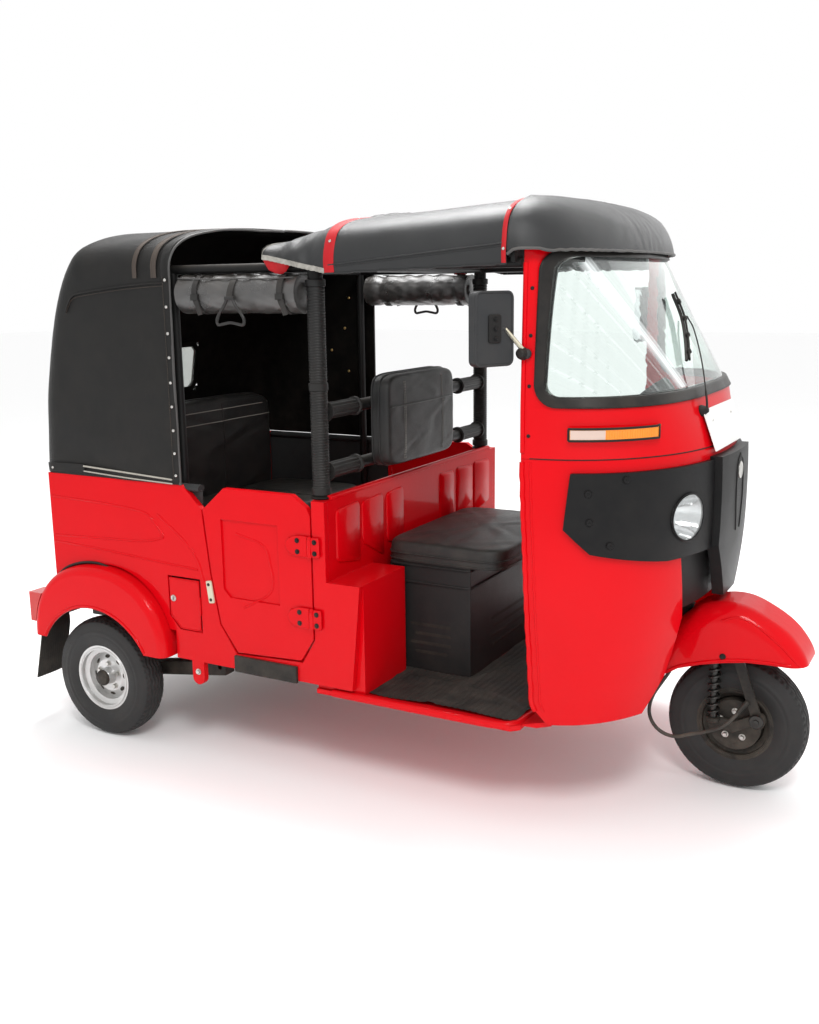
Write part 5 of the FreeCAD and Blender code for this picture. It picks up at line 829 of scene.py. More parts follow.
# Front suspension: a steel link with its stub axle, a coil spring round a damper, and a flat fork leg.
# A pressed hub cap closes the axle, and ribbed rubber covers the column's foot and the handlebar's ends.
spring_steel = finish("spring_steel", (0.030, 0.030, 0.030), (0.055, 0.054, 0.052), 0.34, dust=0.05, fine=500,
                      bump=0.0003, Metallic=0.85)
coat(spring_steel, "front_spring")
hub = Vector((1.158, touch("front_fork", (1.154, -0.4, 0.262), (0, 1, 0))[0].y, 0.25))
hub_cap = lathed([(21, 0), (21, 5), (19, 8), (9, 9), (8, 13), (2, 14)], hub, (0, -1, 0), 28)
piece("fork_hub_cap", *hub_cap, spring_steel, "steering")
folds = [(30 + 8 * (k % 2), k * 6.5) for k in range(15)]
piece("column_bellows", *lathed(folds, mm(936, 0, 474), (-0.4067, 0, 0.9135), 28), seal_rubber)
grips = []
for sign in (-1, 1):
    outward = (0, sign, 0)
    ribs = [(17.5 + (1.4 if step % 2 else 0), step * 4.0) for step in range(28)]
    grips.append(lathed([(22, -3), (22, 0)] + ribs + [(18, 113), (12, 117)],
                        mm(692, sign * 214, 1021), outward))
    lever = ((700, 168, 1024), (722, 186, 1020), (738, 240, 1014), (734, 312, 1012))
    grips.append(swept(fair_line([(x, sign * y, z) for x, y, z in lever]), 0.006, flat=0.7))
    grips.append(lathed([(20, 0), (21, 4), (21, 26), (20, 30)], mm(692, sign * 158, 1021), outward))
joined("handlebar_grips", grips, seal_rubber, "steering")

# Fenders: pressed steel with rolled rims and a raised ridge, sprayed red, with rubber piping at the body.
# Black bolts hold the front one to the fork's crown.
RIDGE = ((1046, 546), (1097, 559), (1158, 533), (1216, 489), (1268, 436))
HEM = ((880, 358), (926, 387), (993, 410), (1059, 427), (1125, 437), (1189, 439), (1246, 438))
PIPING = ((-1110, 541), (-1060, 578), (-987, 603), (-915, 609), (-859, 597), (-780, 567), (-712, 526),
          (-665, 468), (-637, 420), (-612, 350))
ARCH_RADIUS = 0.262
for side, sign in SIDES:
    inward, outward = (0, -sign, 0), (0, sign, 0)
    beads = []
    for line, steps, radius in ((RIDGE, 10, 0.0032), (HEM, 8, 0.0045)):
        run = fair_line([(x, sign * 400, z) for x, z in line], steps)
        beads.append(swept(hits("front_fender", run, inward), radius))
    joined(f"front_fender_beads_{side}", beads, red_paint, "steering", sharp=80)
    spot, _ = touch("front_fender", (1.055, sign * 0.4, 0.437), inward)
    piece(f"front_fender_bolt_{side}", *hexed(spot, outward, 12, 6, 2), frame_black, "steering")
    arch = []
    for turn in (math.radians(24 + 132 * step / 60) for step in range(61)):
        arch.append((-0.915 + ARCH_RADIUS * math.cos(turn), sign * 0.9, 0.207 + ARCH_RADIUS * math.sin(turn)))
    arch = [p for p in hits("rear_fenders", arch, inward) if abs(p.y) > 0.6]
    rod(f"rear_fender_rim_{side}", arch, 0.0045, red_paint)
    piping = []
    for p in fair_line([(x, sign * 604, z) for x, z in PIPING]):
        spot = touch(f"body_side_{side}", (p.x, sign * 0.9, p.z), inward)[0] or p
        piping.append(Vector((spot.x, sign * max(0.6035, abs(spot.y)), spot.z)))
    rod(f"rear_fender_piping_{side}", piping, 0.0048, black_and_painted_shade)


# Mud flaps: black moulded rubber with upright ribs, bolted behind the fenders and hanging free below.
# They are a little curled towards their lower edges.
def bounds_of(points):
    """The lowest and the highest corner of some points."""
    return [Vector([end(p[axis] for p in points) for axis in range(3)]) for end in (min, max)]


def grid_edge(rows, columns):
    """Point numbers round the edge of a grid."""
    last = (rows - 1) * columns
    edge = list(range(columns)) + [row * columns + columns - 1 for row in range(1, rows)]
    return (edge + list(range(last + columns - 2, last - 1, -1))
            + [row * columns for row in range(rows - 2, 0, -1)])


def two_sided(rows, columns):
    """Faces of a closed thin sheet, whose points are those of one side and then those of the other."""
    count = rows * columns
    edge = grid_edge(rows, columns)
    return (grid_faces(rows, columns) + grid_faces(rows, columns, count)
            + ring_faces(edge, [e + count for e in edge]))


flap_rubber = finish("flap_rubber", (0.013, 0.013, 0.013), (0.026, 0.024, 0.021), 0.66, dust=0.12, reach=0.6,
                     bump=0.0005)
FLAP_ROWS, FLAP_COLUMNS, FLAP_BEND = 40, 65, 0.332
flap_nodes = [Vector((v.co.x, abs(v.co.y), v.co.z)) for v in CAD["mudflaps"].data.vertices]
flap_low, flap_high = bounds_of(flap_nodes)
flap_wide = flap_high.y - flap_low.y
for side, sign in SIDES:
    points = []
    for back in (False, True):
        for row in range(FLAP_ROWS + 1):
            z = flap_high.z + (flap_low.z - flap_high.z) * row / FLAP_ROWS
            lean = max(0.0, (FLAP_BEND - z) / (FLAP_BEND - flap_low.z))
            x = (flap_high.x - 0.004) + (flap_low.x + 0.008 - flap_high.x) * lean
            for column in range(FLAP_COLUMNS + 1):
                rib = 0.0018 * (0.5 + 0.5 * math.cos(column * 2 * math.pi / 5)) * (2 < row < FLAP_ROWS - 1)
                curl = 0.004 * lean * math.sin(column * math.pi / FLAP_COLUMNS)
                lift = -0.0022 if back else 0.0018 + rib * 0.5
                points.append(Vector((x + curl + lift,
                                      sign * (flap_low.y + flap_wide * column / FLAP_COLUMNS), z)))
    flap = piece(f"mudflap_{side}", points, two_sided(FLAP_ROWS + 1, FLAP_COLUMNS + 1), flap_rubber, sharp=60)
    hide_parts("mudflaps")
    bolts = []
    for share in (0.2, 0.8):
        place = (flap_high.x - 0.0065, sign * (flap_low.y + share * flap_wide), flap_high.z - 0.012)
        bolts.append(hexed(place, (-1, 0, 0), 10, 4, 1.5))
    joined(f"mudflap_bolts_{side}", bolts, bright_zinc)

# Tail: red lamps with moulded ribs, screwed to the rear panel on both sides of the engine lid.
# Pressed louvres in the lid let the engine breathe, and a bent wire handle pulls it up.
tail_red = finish("tail_red", (0.50, 0.006, 0.006), (0.40, 0.004, 0.004), 0.16, dust=0.15, reach=0.8,
                  fine=120, bump=0.0003, rough_swing=0.04, Coat_Weight=0.6,
                  Emission_Color=(1, 0.02, 0.01, 1), Emission_Strength=0.05)
coat(tail_red, "tail_lamps")
tail_parts, louvres, slots = [], [], []
for sign in (-1, 1):
    for z in range(384, 474, 9):
        run = hits("tail_lamps", [mm(-1600, sign * y, z) for y in range(569, 634, 6)], (1, 0, 0))
        if len(run) > 3:
            tail_parts.append(swept(run, 0.0013, 6))
joined("tail_lamp_ribs", tail_parts, tail_red, sharp=80)
# Under each louvre a thin dark strip is painted shade below the louvre's lip.
for column_y in (-250, 0, 250):
    for z in range(560, 740, 30):
        for parts, drop, thin, thick, sides in ((louvres, 0, 0.002, 0.0075, 10),
                                                (slots, 7, 0.001, 0.0025, 6)):
            starts = [mm(-2000, y, z - drop) for y in range(column_y - 90, column_y + 91, 15)]
            run = hits("engine_lid", starts, (1, 0, 0))
            parts.append(swept(run, [thin] + [thick] * (len(run) - 2) + [thin], sides))
joined("lid_louvres", louvres, red_paint, "lid", sharp=80)
joined("lid_louvre_painted_shade", slots, black_and_painted_shade, "lid", sharp=80)
spot, _ = touch("engine_lid", (-2, 0, 0.505), (1, 0, 0))
handle = smooth_line([spot + mm(*p) for p in ((0, -45, 0), (-16, -40, 0), (-20, 0, 0),
                                              (-16, 40, 0), (0, 45, 0))])
rod("lid_handle", handle, 0.005, frame_black, "lid", sides=10)

# Roof posts and rails: steel tubes sprayed black, with ribbed dark rubber sleeves on the driver's posts.
# Collars hold the sleeves, and flanged ribbed grips cover the ends of the two cross rails.
sleeve_rubber = finish("sleeve_rubber", (0.010, 0.010, 0.010), (0.017, 0.017, 0.017), 0.45, dust=0.06,
                       reach=1.6, fine=1200, bump=0.0004)
GRIP_SIDES = 48
sleeve_profile = [(23.5, 0), (29, 1), (29, 20), (26, 22)]
for start, stop, collar in ((26, 306, [(25, 306), (28.5, 308), (28.5, 328), (25, 330)]),
                            (334, 598, [(25, 602), (29, 604), (29, 622), (23.5, 624)])):
    for z in range(start, stop, 8):
        sleeve_profile += [(24.4, z), (26.4, z + 3), (26.4, z + 5)]
    sleeve_profile += collar
for side, sign in SIDES:
    piece(f"post_sleeve_{side}", *lathed(sleeve_profile, mm(-39, sign * 549, 908), (0, 0, 1), 28),
          sleeve_rubber)
    foot = lathed([(31, 0), (31, 4), (25, 8)], mm(-39, sign * 549, 897), (0, 0, 1), 28)
    piece(f"post_foot_{side}", *foot, frame_black)
    grips = []
    for z in (972, 1151):
        profile = [(31, 0), (31, 6), (25, 8), (25, 160), (29, 163), (29, 172), (20, 174)]
        grip = lathed(profile, mm(-39, sign * 522, z), (0, -sign, 0), GRIP_SIDES)
        for index, p in enumerate(grip[0][GRIP_SIDES * 2:GRIP_SIDES * 4]):
            if index % 4 < 2:
                p -= Vector((p.x + 0.039, 0, p.z - z / 1000)) * 0.09
        grips.append(grip)
    joined(f"rail_grips_{side}", grips, sleeve_rubber)

# Pillar flanges: folded red edges of the cab beside the windscreen and down the apron's rear edge.
# Dark screws hold the glass rubber's frame to them, and a bright band closes the brow above the glass.
pillar_parts, pillar_screws = [], []
for sign in (-1, 1):
    inward = (0, -sign, 0)
    line = [(0.6105, sign * 0.9, 1.075 + 0.49 * step / 45) for step in range(46)]
    pillar_parts.append(swept(hits("cowl_upper", line, inward), 0.0065, 10))
    for z in (1.120, 1.250, 1.380, 1.500):
        pillar_screws.append(screwed(*touch("cowl_upper", (0.627, sign * 0.9, z), inward), 5, 2.6))
    edge_line, inner_line = [], []
    for z in (0.345 + 0.705 * step / 39 for step in range(40)):
        spots = hits("apron", [(0.585 + 0.003 * k, sign * 0.9, z) for k in range(40)], inward)
        spots = [p for p in spots if abs(p.y) > 0.45]
        if len(spots) > 12:
            edge_line.append(spots[0] + Vector((0.001, 0, 0)))
            inner_line.append(spots[8] + Vector((0, -sign * 0.0015, 0)))
    pillar_parts += [swept(edge_line, 0.0072, 10), swept(inner_line, 0.0040)]
joined("pillar_flanges", pillar_parts, red_paint, sharp=80)
joined("pillar_screws", pillar_screws, black_and_painted_shade)
brow = [spot for spot, _ in round_nose("cowl_upper", 0.62, 0.9, 1.632, 88, 59) if spot]
rod("brow_band", brow, 0.005, bright_zinc)


# Canopy: black coated vinyl, sewn from panels and pulled over the hoops, with bound hems along its feet.
# Red bands with studs hold its two ends, and the slack rear flap hangs loose behind the driver.
def skin(node, origin_line, columns, rows, ease):
    """Rows of points where a solid's outside is met from around a line of origins, from foot to foot."""
    grid = []
    for row in range(rows + 1):
        origin = origin_line(row / rows)

        def met(degrees):
            way = Vector((0, math.cos(math.radians(degrees)), math.sin(math.radians(degrees))))
            spot, _ = touch(node, origin + way * 1.2, -way)
            return spot if spot and (spot - origin).dot(way) > 0.05 else None, way

        low = next((turn / 4 for turn in range(-32, 200) if met(turn / 4)[0]), 6)
        high = next((180 - turn / 4 for turn in range(-32, 200) if met(180 - turn / 4)[0]), 174)
        line = []
        for share in (column / columns for column in range(columns + 1)):
            spot, way = met(low + (high - low) * share)
            line.append(spot and spot + way * (0.0015 + ease(row / rows, share, spot)))
        grid.append(line)
    return grid


def fill_gaps(grid):
    """Gives a point to every place that a grid missed, from its nearest neighbours in the row."""
    for line in grid:
        for index, point in enumerate(line):
            if point is None:
                near = [p for p in line[max(0, index - 3):index + 4] if p] or [p for p in line if p]
                line[index] = near[0].copy() if near else Vector()
    return grid


def relaxed(grid, rounds):
    """Evens out a grid of points, apart from its edges."""
    for _ in range(rounds):
        fresh = [[p.copy() for p in line] for line in grid]
        for row in range(1, len(grid) - 1):
            for column in range(1, len(grid[0]) - 1):
                around = (grid[row - 1][column] + grid[row + 1][column]
                          + grid[row][column - 1] + grid[row][column + 1])
                fresh[row][column] = grid[row][column] * 0.5 + around * 0.125
        grid = fresh
    return grid


def sheet_of(grid, thickness, centre_of):
    """A closed thin sheet on a grid, thickened towards the centre of each point."""
    outer = [p for line in grid for p in line]
    inner = [p + (Vector(centre_of(p)) - p).normalized() * thickness for p in outer]
    return outer + inner, two_sided(len(grid), len(grid[0]))


def fold_noise(a, b, seed):
    """Smooth unevenness from a few crossing waves."""
    total = 0.0
    for k in range(1, 5):
        along = math.sin(a * (3.1 + 2.3 * k) + seed * k * 1.7 + 1.9 * math.sin(b * (2.2 + k) + seed))
        total += along * math.cos(b * (2.7 + 1.9 * k) + seed * 2.3 * k) / (k + 0.5)
    return total


def canopy_ease(run, around, spot):
    """How far the vinyl sags, ripples and pulls in at its feet."""
    side = min(1.0, max(0.0, (1.66 - spot.z) / 0.05))
    sag = -0.0035 * math.sin(run * math.pi) * (1 - side)
    ripple = 0.0013 * fold_noise(run * 2.4, around * 6.0, 0.7) * (0.6 + side)
    tuck = math.exp(-((1.60 - spot.z) / 0.03) ** 2)
    return sag + ripple + 0.0016 * side * math.sin(run * 26 + math.sin(around * 9) * 2) * tuck


canopy_vinyl = finish("canopy_vinyl", (0.010, 0.011, 0.012), (0.018, 0.019, 0.020), 0.34, gloss=0.38,
                      dust=0.03, reach=2.2, fine=1800, broad=6, broad_share=0.9, bump=0.0007)
lining_red = finish("lining_red", (0.42, 0.006, 0.012), (0.34, 0.005, 0.009), 0.55, dust=0.08, reach=2.0)
piping_frayed = finish("piping_frayed", (0.46, 0.44, 0.40), (0.10, 0.10, 0.09), 0.7, reach=2.2, fine=500,
                       broad=70, bump=0.0012)
stud_silver = finish("stud_silver", (0.66, 0.65, 0.62), (0.5, 0.49, 0.47), 0.25, dust=0.1, reach=2.2,
                     fine=300, bump=0.0002, Metallic=1.0)
CANOPY_COLUMNS, CANOPY_ROWS, CANOPY_LONG, HOOP_CENTRE = 150, 60, 0.545, 1.5


def middle_of_hoop(p):
    """The middle of the hoop that a point of the roof lies on."""
    return p.x, 0, HOOP_CENTRE


canopy_grid = skin("front_canopy", lambda t: Vector((0.0305 + 0.543 * t, 0, 1.52)), CANOPY_COLUMNS,
                   CANOPY_ROWS, canopy_ease)
canopy_grid = relaxed(fill_gaps(canopy_grid), 2)
canopy_skin = piece("canopy_skin", *sheet_of(canopy_grid, 0.0035, middle_of_hoop), canopy_vinyl, sharp=60)
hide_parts("front_canopy")
surfaces["canopy_skin"] = surface_of(canopy_skin.data)
canopy_trims, canopy_seams = [], []
for column, sign in ((0, 1), (CANOPY_COLUMNS, -1)):
    canopy_trims.append(swept([line[column] + Vector((0, sign * 0.001, 0.0005))
                               for line in canopy_grid], 0.0026, 10))
    for drop, radius in ((0.0, 0.0024), (-0.007, 0.0010)):
        seam = [(0.042 + 0.520 * k / 30, sign * 0.9, 1.5690 + 0.0440 * k / 30 + drop) for k in range(31)]
        seam = [p + Vector((0, sign * 0.0008, 0)) for p in hits("canopy_skin", seam, (0, -sign, 0))]
        canopy_seams.append(swept(seam, radius))
joined("canopy_hem_binding", canopy_trims, canopy_vinyl, sharp=80)
joined("canopy_seams", canopy_seams, canopy_vinyl, sharp=80)


def roof_out(p):
    """The way out of the roof at a point."""
    return Vector((0, p.y, (p.z - 1.35) * 1.4)).normalized()


bands, studs = [], []
for row, shift, width, spacing in ((CANOPY_ROWS, -0.007, 0.013, 9), (0, 0.013, 0.034, 10)):
    band_row = [p + Vector((shift, 0, 0)) for p in canopy_grid[row]]
    points = []
    for p in band_row:
        for along, lift in ((-0.5, 0.0012), (-0.42, 0.0030), (0.42, 0.0030), (0.5, 0.0012)):
            points.append(p + roof_out(p) * lift + Vector((width * along, 0, 0)))
    bands.append((points, grid_faces(len(band_row), 4)))
    studs += [screwed(p + roof_out(p) * 0.003, roof_out(p), 4.2, 2.4) for p in band_row[3:149:spacing]]
joined("canopy_bands", bands, lining_red, sharp=60)
joined("canopy_studs", studs, stud_silver)


def flap_ease(run, around, spot):
    """How far the slack flap billows."""
    edge = min(1.0, abs(around - 0.5) * 2)
    billow = 0.010 * fold_noise(run * 2.2, around * 9.5, 2.1) * (0.4 + 0.6 * edge)
    return (billow + 0.005 * math.sin(run * 12 + around * 22)) * min(1.0, run * 1.8)


DRAPE_COLUMNS, DRAPE_ROWS, DRAPE_END, DRAPE_TOP = 130, 36, -0.1795, 1.707
flap_grid = skin("front_canopy", lambda t: Vector((0.0285 - 0.2075 * t, 0, 1.52)), DRAPE_COLUMNS, DRAPE_ROWS,
                 flap_ease)
flap_grid = relaxed(fill_gaps(flap_grid), 3)
for row, line in enumerate(flap_grid):
    slack = (row / DRAPE_ROWS) ** 2
    for column, p in enumerate(line):
        around = column / DRAPE_COLUMNS
        p.x = max(p.x + 0.016 * slack * math.sin(around * 31 + 1.3 * math.sin(around * 11)), DRAPE_END)
        p.z = min(p.z - 0.012 * slack * (0.5 + 0.5 * math.sin(around * 23 + 1)), DRAPE_TOP)
flap_skin = piece("canopy_rear_flap", *sheet_of(flap_grid, 0.003, middle_of_hoop), canopy_vinyl, sharp=60)
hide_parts("front_canopy")


def hemmed(lines, centre):
    """A turned hem: each line gives its edge first and then the points inward of it."""
    points, wide = [], len(lines[0]) + 2
    for line in lines:
        for index, p in enumerate([line[0]] + line + [line[-1]]):
            lift = 0.0002 if index in (0, wide - 1) else 0.0026
            points.append(p + Vector((0, p.y, p.z - centre)).normalized() * lift)
    return points, grid_faces(len(lines), wide)


hems = [hemmed([[flap_grid[r][c] for r in (36, 35, 34)] for c in range(DRAPE_COLUMNS + 1)], 1.45)]
hems += [hemmed([[line[c] for c in columns] for line in flap_grid], 1.45) for columns in ((0, 1), (130, 129))]
joined("flap_hem", hems, piping_frayed, sharp=50)
lining_parts = []
for column, sign in ((0, 1), (DRAPE_COLUMNS, -1)):
    points = []
    for row in range(22, 37):
        drop = 0.034 * math.sin(math.pi * (row - 22) / 14) ** 0.6 if row < 36 else 0.004
        for inset, share in ((0.004, 0), (0.010, 0.5), (0.022, 1)):
            points.append(flap_grid[row][column] + Vector((0, -sign * inset, -drop * share)))
    lining_parts.append((points, grid_faces(15, 3)))
joined("flap_lining", lining_parts, lining_red, sharp=60)
ROLL_STEPS, ROLL_SIDES, ROLL_HALF_WIDE = 60, 17, 0.36
roll_points = []
for step in range(ROLL_STEPS + 1):
    y = -ROLL_HALF_WIDE + 2 * ROLL_HALF_WIDE * step / ROLL_STEPS
    swell = math.cos(y / ROLL_HALF_WIDE * math.pi / 2) ** 0.5 if abs(y) < 0.3599 else 0.0
    for k in range(ROLL_SIDES):
        turn = math.radians(-10 + 200 * k / (ROLL_SIDES - 1))
        radius = 0.006 + 0.026 * swell * (1 + 0.12 * math.sin(step * 0.9) + 0.05 * math.sin(k * 1.7 + step))
        x = 0.006 + 0.058 * math.cos(turn) * (0.25 + 0.75 * swell) * (1 + 0.04 * math.sin(step * 0.7))
        z = 1.703 - 0.012 * (y / ROLL_HALF_WIDE) ** 2 + radius * math.sin(turn)
        roll_points.append(Vector((x, y, min(1.7405, z))))
rolled = piece("canopy_rolled_edge", roll_points, grid_faces(ROLL_STEPS + 1, ROLL_SIDES),
               canopy_vinyl, sharp=60)
roll_lining = [mm(-48, y, 1704 - 12 * (y / 360) ** 2) for y in range(-330, 331, 30)]
rod("rolled_edge_lining", roll_lining, 0.007, lining_red, flat=0.7)

# Roof cap: one vinyl panel pulled down over the windscreen's brow, hemmed with piping whose pale grey is a
# painted highlight.
# It is tacked under the canopy's front band.
CAP_COLUMNS, CAP_ROWS, CAP_CENTRE, CAP_HEM_ROWS = 120, 26, Vector((0.5752, 0, 1.56)), 6
cap_grid = []
for around in (column / CAP_COLUMNS for column in range(CAP_COLUMNS + 1)):
    turn = math.radians(-90 + 180 * around)

    def met(rise):
        way = Vector((math.cos(rise) * math.cos(turn), math.cos(rise) * math.sin(turn), math.sin(rise)))
        return touch("roof_cap", CAP_CENTRE + way * 1.2, -way)[0], way

    foot = next(math.radians(step / 2) for step in range(2, 120) if met(math.radians(step / 2))[0])
    line = []
    for share in (row / CAP_ROWS for row in range(CAP_ROWS + 1)):
        spot, way = met(foot + (math.radians(89) - foot) * share ** 1.25)
        line.append(spot and spot + way * (0.0012 + 0.0011 * fold_noise(share * 2, around * 7, 4.2)))
    cap_grid.append(line)
cap_grid = [[Vector((max(p.x, 0.5745), p.y, p.z)) for p in line] for line in relaxed(fill_gaps(cap_grid), 2)]
for line in cap_grid:
    for row in range(CAP_HEM_ROWS):
        pull = (1 - row / CAP_HEM_ROWS) * min(1.0, max(0.0, (line[row].x - 0.60) / 0.06))
        line[row] += Vector((0.002, 0, -0.019)) * pull
cap_skin = piece("cap_skin", *sheet_of(cap_grid, 0.0035, lambda p: (0.56, 0, HOOP_CENTRE)),
                 canopy_vinyl, sharp=60)
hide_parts("roof_cap")
# The hem's pale grey is a painted highlight along the cap's lower edge.
hem_painted_highlight = finish("hem_painted_highlight", (0.10, 0.10, 0.10), (0.05, 0.05, 0.05), 0.45, reach=2.2, fine=700, bump=0.0005)
rod("cap_hem_piping_painted_highlight", [line[0] for line in cap_grid], 0.0040, hem_painted_highlight, sides=10)

# Rear hood: coated vinyl pulled over bent hoops, with brownish reinforcing strips and stitched seams.
# Two pale cords run along its foot, press studs close it to the posts, and a bound window lets light in.
hood_vinyl = finish("hood_vinyl", (0.005, 0.005, 0.005), (0.009, 0.009, 0.009), 0.40, gloss=0.18, dust=0.03,
                    reach=2.4, fine=1500, broad=5, broad_share=0.9, bump=0.0009)
hood_dark = finish("hood_dark", (0.0015, 0.0018, 0.002), (0.003, 0.003, 0.003), 0.8, gloss=0.04,
                   dust=0.05, reach=2.0)
# A pale grey that paints a highlight on the hood's front edge and on the curtains' top hems.
hood_highlight = finish("hood_highlight", (0.075, 0.075, 0.075), (0.045, 0.045, 0.045), 0.34, dust=0.1,
                        reach=2.2, bump=0.0005)
strip_brown = finish("strip_brown", (0.052, 0.040, 0.034), (0.032, 0.027, 0.024), 0.55, dust=0.15, reach=2.2,
                     bump=0.0008)
piping_pale = finish("piping_pale", (0.42, 0.40, 0.35), (0.30, 0.29, 0.26), 0.55, reach=2.2,
                     fine=700, bump=0.0005)
thread_brown = finish("thread_brown", (0.10, 0.075, 0.06), (0.07, 0.055, 0.045), 0.6, dust=0.05, reach=2.2,
                      fine=500, bump=0.0003)
HOOD_COLUMNS, HOOD_ROWS, HOOD_CENTRE = 190, 120, Vector((-0.5306, 0, 0.9060))
HOOD_FRONT, HOOD_FOOT, HOOD_HALF_WIDE, HOOD_ROUND, SEAM_SHARE = -0.5302, 0.9056, 0.6055, 2.6, 1.12
WINDOW_HALF_WIDE, WINDOW_LOW, WINDOW_HIGH = 0.226, 1.114, 1.296


def hood_place(a, b):
    """A place on the hood: a turns in plan from right to left, b rises from the foot to the crown."""
    turn, rise = math.radians(90 + 180 * a), math.radians(90 * b)
    way = Vector((math.cos(turn) * math.cos(rise), -math.sin(turn) * math.cos(rise), math.sin(rise)))
    spot, _ = touch("rear_hood", HOOD_CENTRE + way * 2.0, -way)
    billow = 0.0022 * fold_noise(a * 3.0, b * 2.2, 1.3)
    drape = 0.0028 * math.exp(-((b - 0.58 - 0.05 * math.sin(a * 20)) / 0.05) ** 2) * math.sin(a * 34 + b * 8)
    crown = 0.0040 * math.exp(-((b - 0.80) / 0.10) ** 2)
    crush = crown * fold_noise(a * 5, b * 5, 2.9) * (0.3 + 0.7 * math.sin(math.pi * a) ** 2)
    foot = 0.0018 * math.exp(-(b / 0.05) ** 2) * math.sin(a * 70)
    return spot and spot + way * (0.0005 + billow + drape + crush + foot)


hood_grid = [[hood_place(c / HOOD_COLUMNS, min(r / HOOD_ROWS * 0.9999, 0.9999))
              for c in range(HOOD_COLUMNS + 1)] for r in range(HOOD_ROWS + 1)]
hood_grid = relaxed(fill_gaps(hood_grid), 2)
outer = [p for line in hood_grid for p in line]
for p in outer:
    p.x, p.z = min(p.x, HOOD_FRONT), max(p.z, HOOD_FOOT)
    p.y = max(-HOOD_HALF_WIDE, min(HOOD_HALF_WIDE, p.y))
inner = [p + (Vector((-0.56, 0, 1.2)) - p).normalized() * 0.005 for p in outer]
inner = [Vector((min(p.x, -0.5300), p.y, p.z)) for p in inner]
hood_faces = []
for ring in grid_faces(HOOD_ROWS + 1, HOOD_COLUMNS + 1):
    centre = sum((outer[i] for i in ring), Vector()) / 4
    if not (centre.x < -0.95 and abs(centre.y) < WINDOW_HALF_WIDE and WINDOW_LOW < centre.z < WINDOW_HIGH):
        hood_faces.append(ring)
hood_skin = piece("hood_skin", outer, hood_faces, hood_vinyl, sharp=60)
hood_lining = piece("hood_lining", inner, [ring[::-1] for ring in hood_faces], hood_dark, sharp=60)
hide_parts("rear_hood")


def on_hood(places, sign, lift, steps=6):
    """Points on one side of the hood, or a fair line over it, through pairs of x and z in millimetres."""
    places = [mm(x, sign * 900, z) for x, z in places]
    spots = hits("rear_hood", smooth_line(places, steps) if steps else places, (0, -sign, 0))
    return [spot + Vector((0, sign * lift, 0)) for spot in spots]


def strip_on(points, width, lift, out_at):
    """A flat strip with soft edges along a line; out_at tells the way out of the surface."""
    verts = []
    for index, p in enumerate(points):
        along = (points[min(index + 1, len(points) - 1)] - points[max(index - 1, 0)]).normalized()
        out = out_at(p)
        side = along.cross(out).normalized()
        for offset, height in ((-0.5, 0.0), (-0.46, lift), (0.46, lift), (0.5, 0.0)):
            verts.append(p + side * width * offset + out * height)
    return verts, grid_faces(len(points), 4)


def stitched(points, radius=0.0007, length=0.0045, gap=0.0035):
    """Stitches: short runs of thread along a line."""
    parts, travelled, start = [], 0.0, None
    for a, b in zip(points, points[1:]):
        steps = max(1, int((b - a).length / 0.0015))
        for place in (a.lerp(b, k / steps) for k in range(steps)):
            phase = travelled % (length + gap)
            if phase < length and start is None:
                start = place
            if phase >= length and start is not None:
                if (place - start).length > length * 0.4:
                    parts.append(swept([start, start.lerp(place, 0.5), place], radius, 5))
                start = None
            travelled += (b - a).length / steps
    return parts


def arch_out(p):
    """The way out of the hood's crown at a point."""
    return Vector((0, p.y, (p.z - 1.25) * 1.6)).normalized()


outward_of = {-1: lambda p: Vector((0, -1, 0)), 1: lambda p: Vector((0, 1, 0))}
hood_cords, hood_strips, hood_stitches, hood_studs, hood_seams = [], [], [], [], []
for sign in (-1, 1):
    for line, lift, radius in ((((-943, 939), (-750, 930), (-564, 921)), 0.0045, 0.0030),
                               (((-943, 922), (-750, 913), (-564, 908)), 0.0040, 0.0024)):
        hood_cords.append(swept(on_hood(line, sign, lift), radius))
    band = on_hood(((-1112, 925), (-1030, 930), (-940, 930)), sign, 0.002)
    hood_strips.append(strip_on(band, 0.030, 0.0025, outward_of[sign]))
    shape = ((-536, 1530), (-700, 1521), (-860, 1505), (-930, 1494), (-956, 1470), (-972, 1440))
    seam = on_hood(shape, sign, 0.0036)
    hood_seams.append(swept(seam, 0.0028))
    edge = on_hood([(-545, z) for z in (1545, 1400, 1200, 1000, 915)], sign, 0.0032)
    hood_strips.append(strip_on(edge, 0.026, 0.0022, outward_of[sign]))
    hood_stitches += stitched([p + Vector((0, sign * 0.0010, -0.010)) for p in seam])
    hood_stitches += stitched([p + Vector((-0.010, sign * 0.0030, 0)) for p in edge])
    studs = [(-545, z) for z in (1536, 1456, 1376, 1303, 1226, 1152, 1078, 1006, 936)]
    hood_studs += [screwed(spot, (0, sign, 0), 5.2, 3) for spot in on_hood(studs, sign, 0.0060, None)]
    hood_studs += [screwed(spot, (0, sign, 0), 4.6, 2.6)
                   for spot in on_hood([(-1085, 925)], sign, 0.0055, None)]
hood_brown = []
for x, width, brown in ((-0.548, 0.030, False), (-0.592, 0.022, True), (-0.668, 0.016, True)):
    run = []
    for turn in (math.radians(8 + 164 * step / 120) for step in range(121)):
        way = Vector((0, math.cos(turn), math.sin(turn)))
        spot, _ = touch("rear_hood", Vector((x, 0, 1.25)) + way * 1.2, -way)
        if spot is not None and spot.z > 1.53:
            run.append(spot + way * 0.0032)
    (hood_brown if brown else hood_strips).append(strip_on(run, width, 0.0018 if brown else 0.0022, arch_out))
    for shift in (-0.007, 0.007) if brown else ():
        hood_stitches += stitched([p + Vector((shift, 0, 0)) + arch_out(p) * 0.0022 for p in run])
joined("hood_cords", hood_cords, piping_pale, sharp=80)
joined("hood_bands", hood_strips, hood_vinyl, sharp=60)
joined("hood_brown_strips", hood_brown, strip_brown, sharp=60)
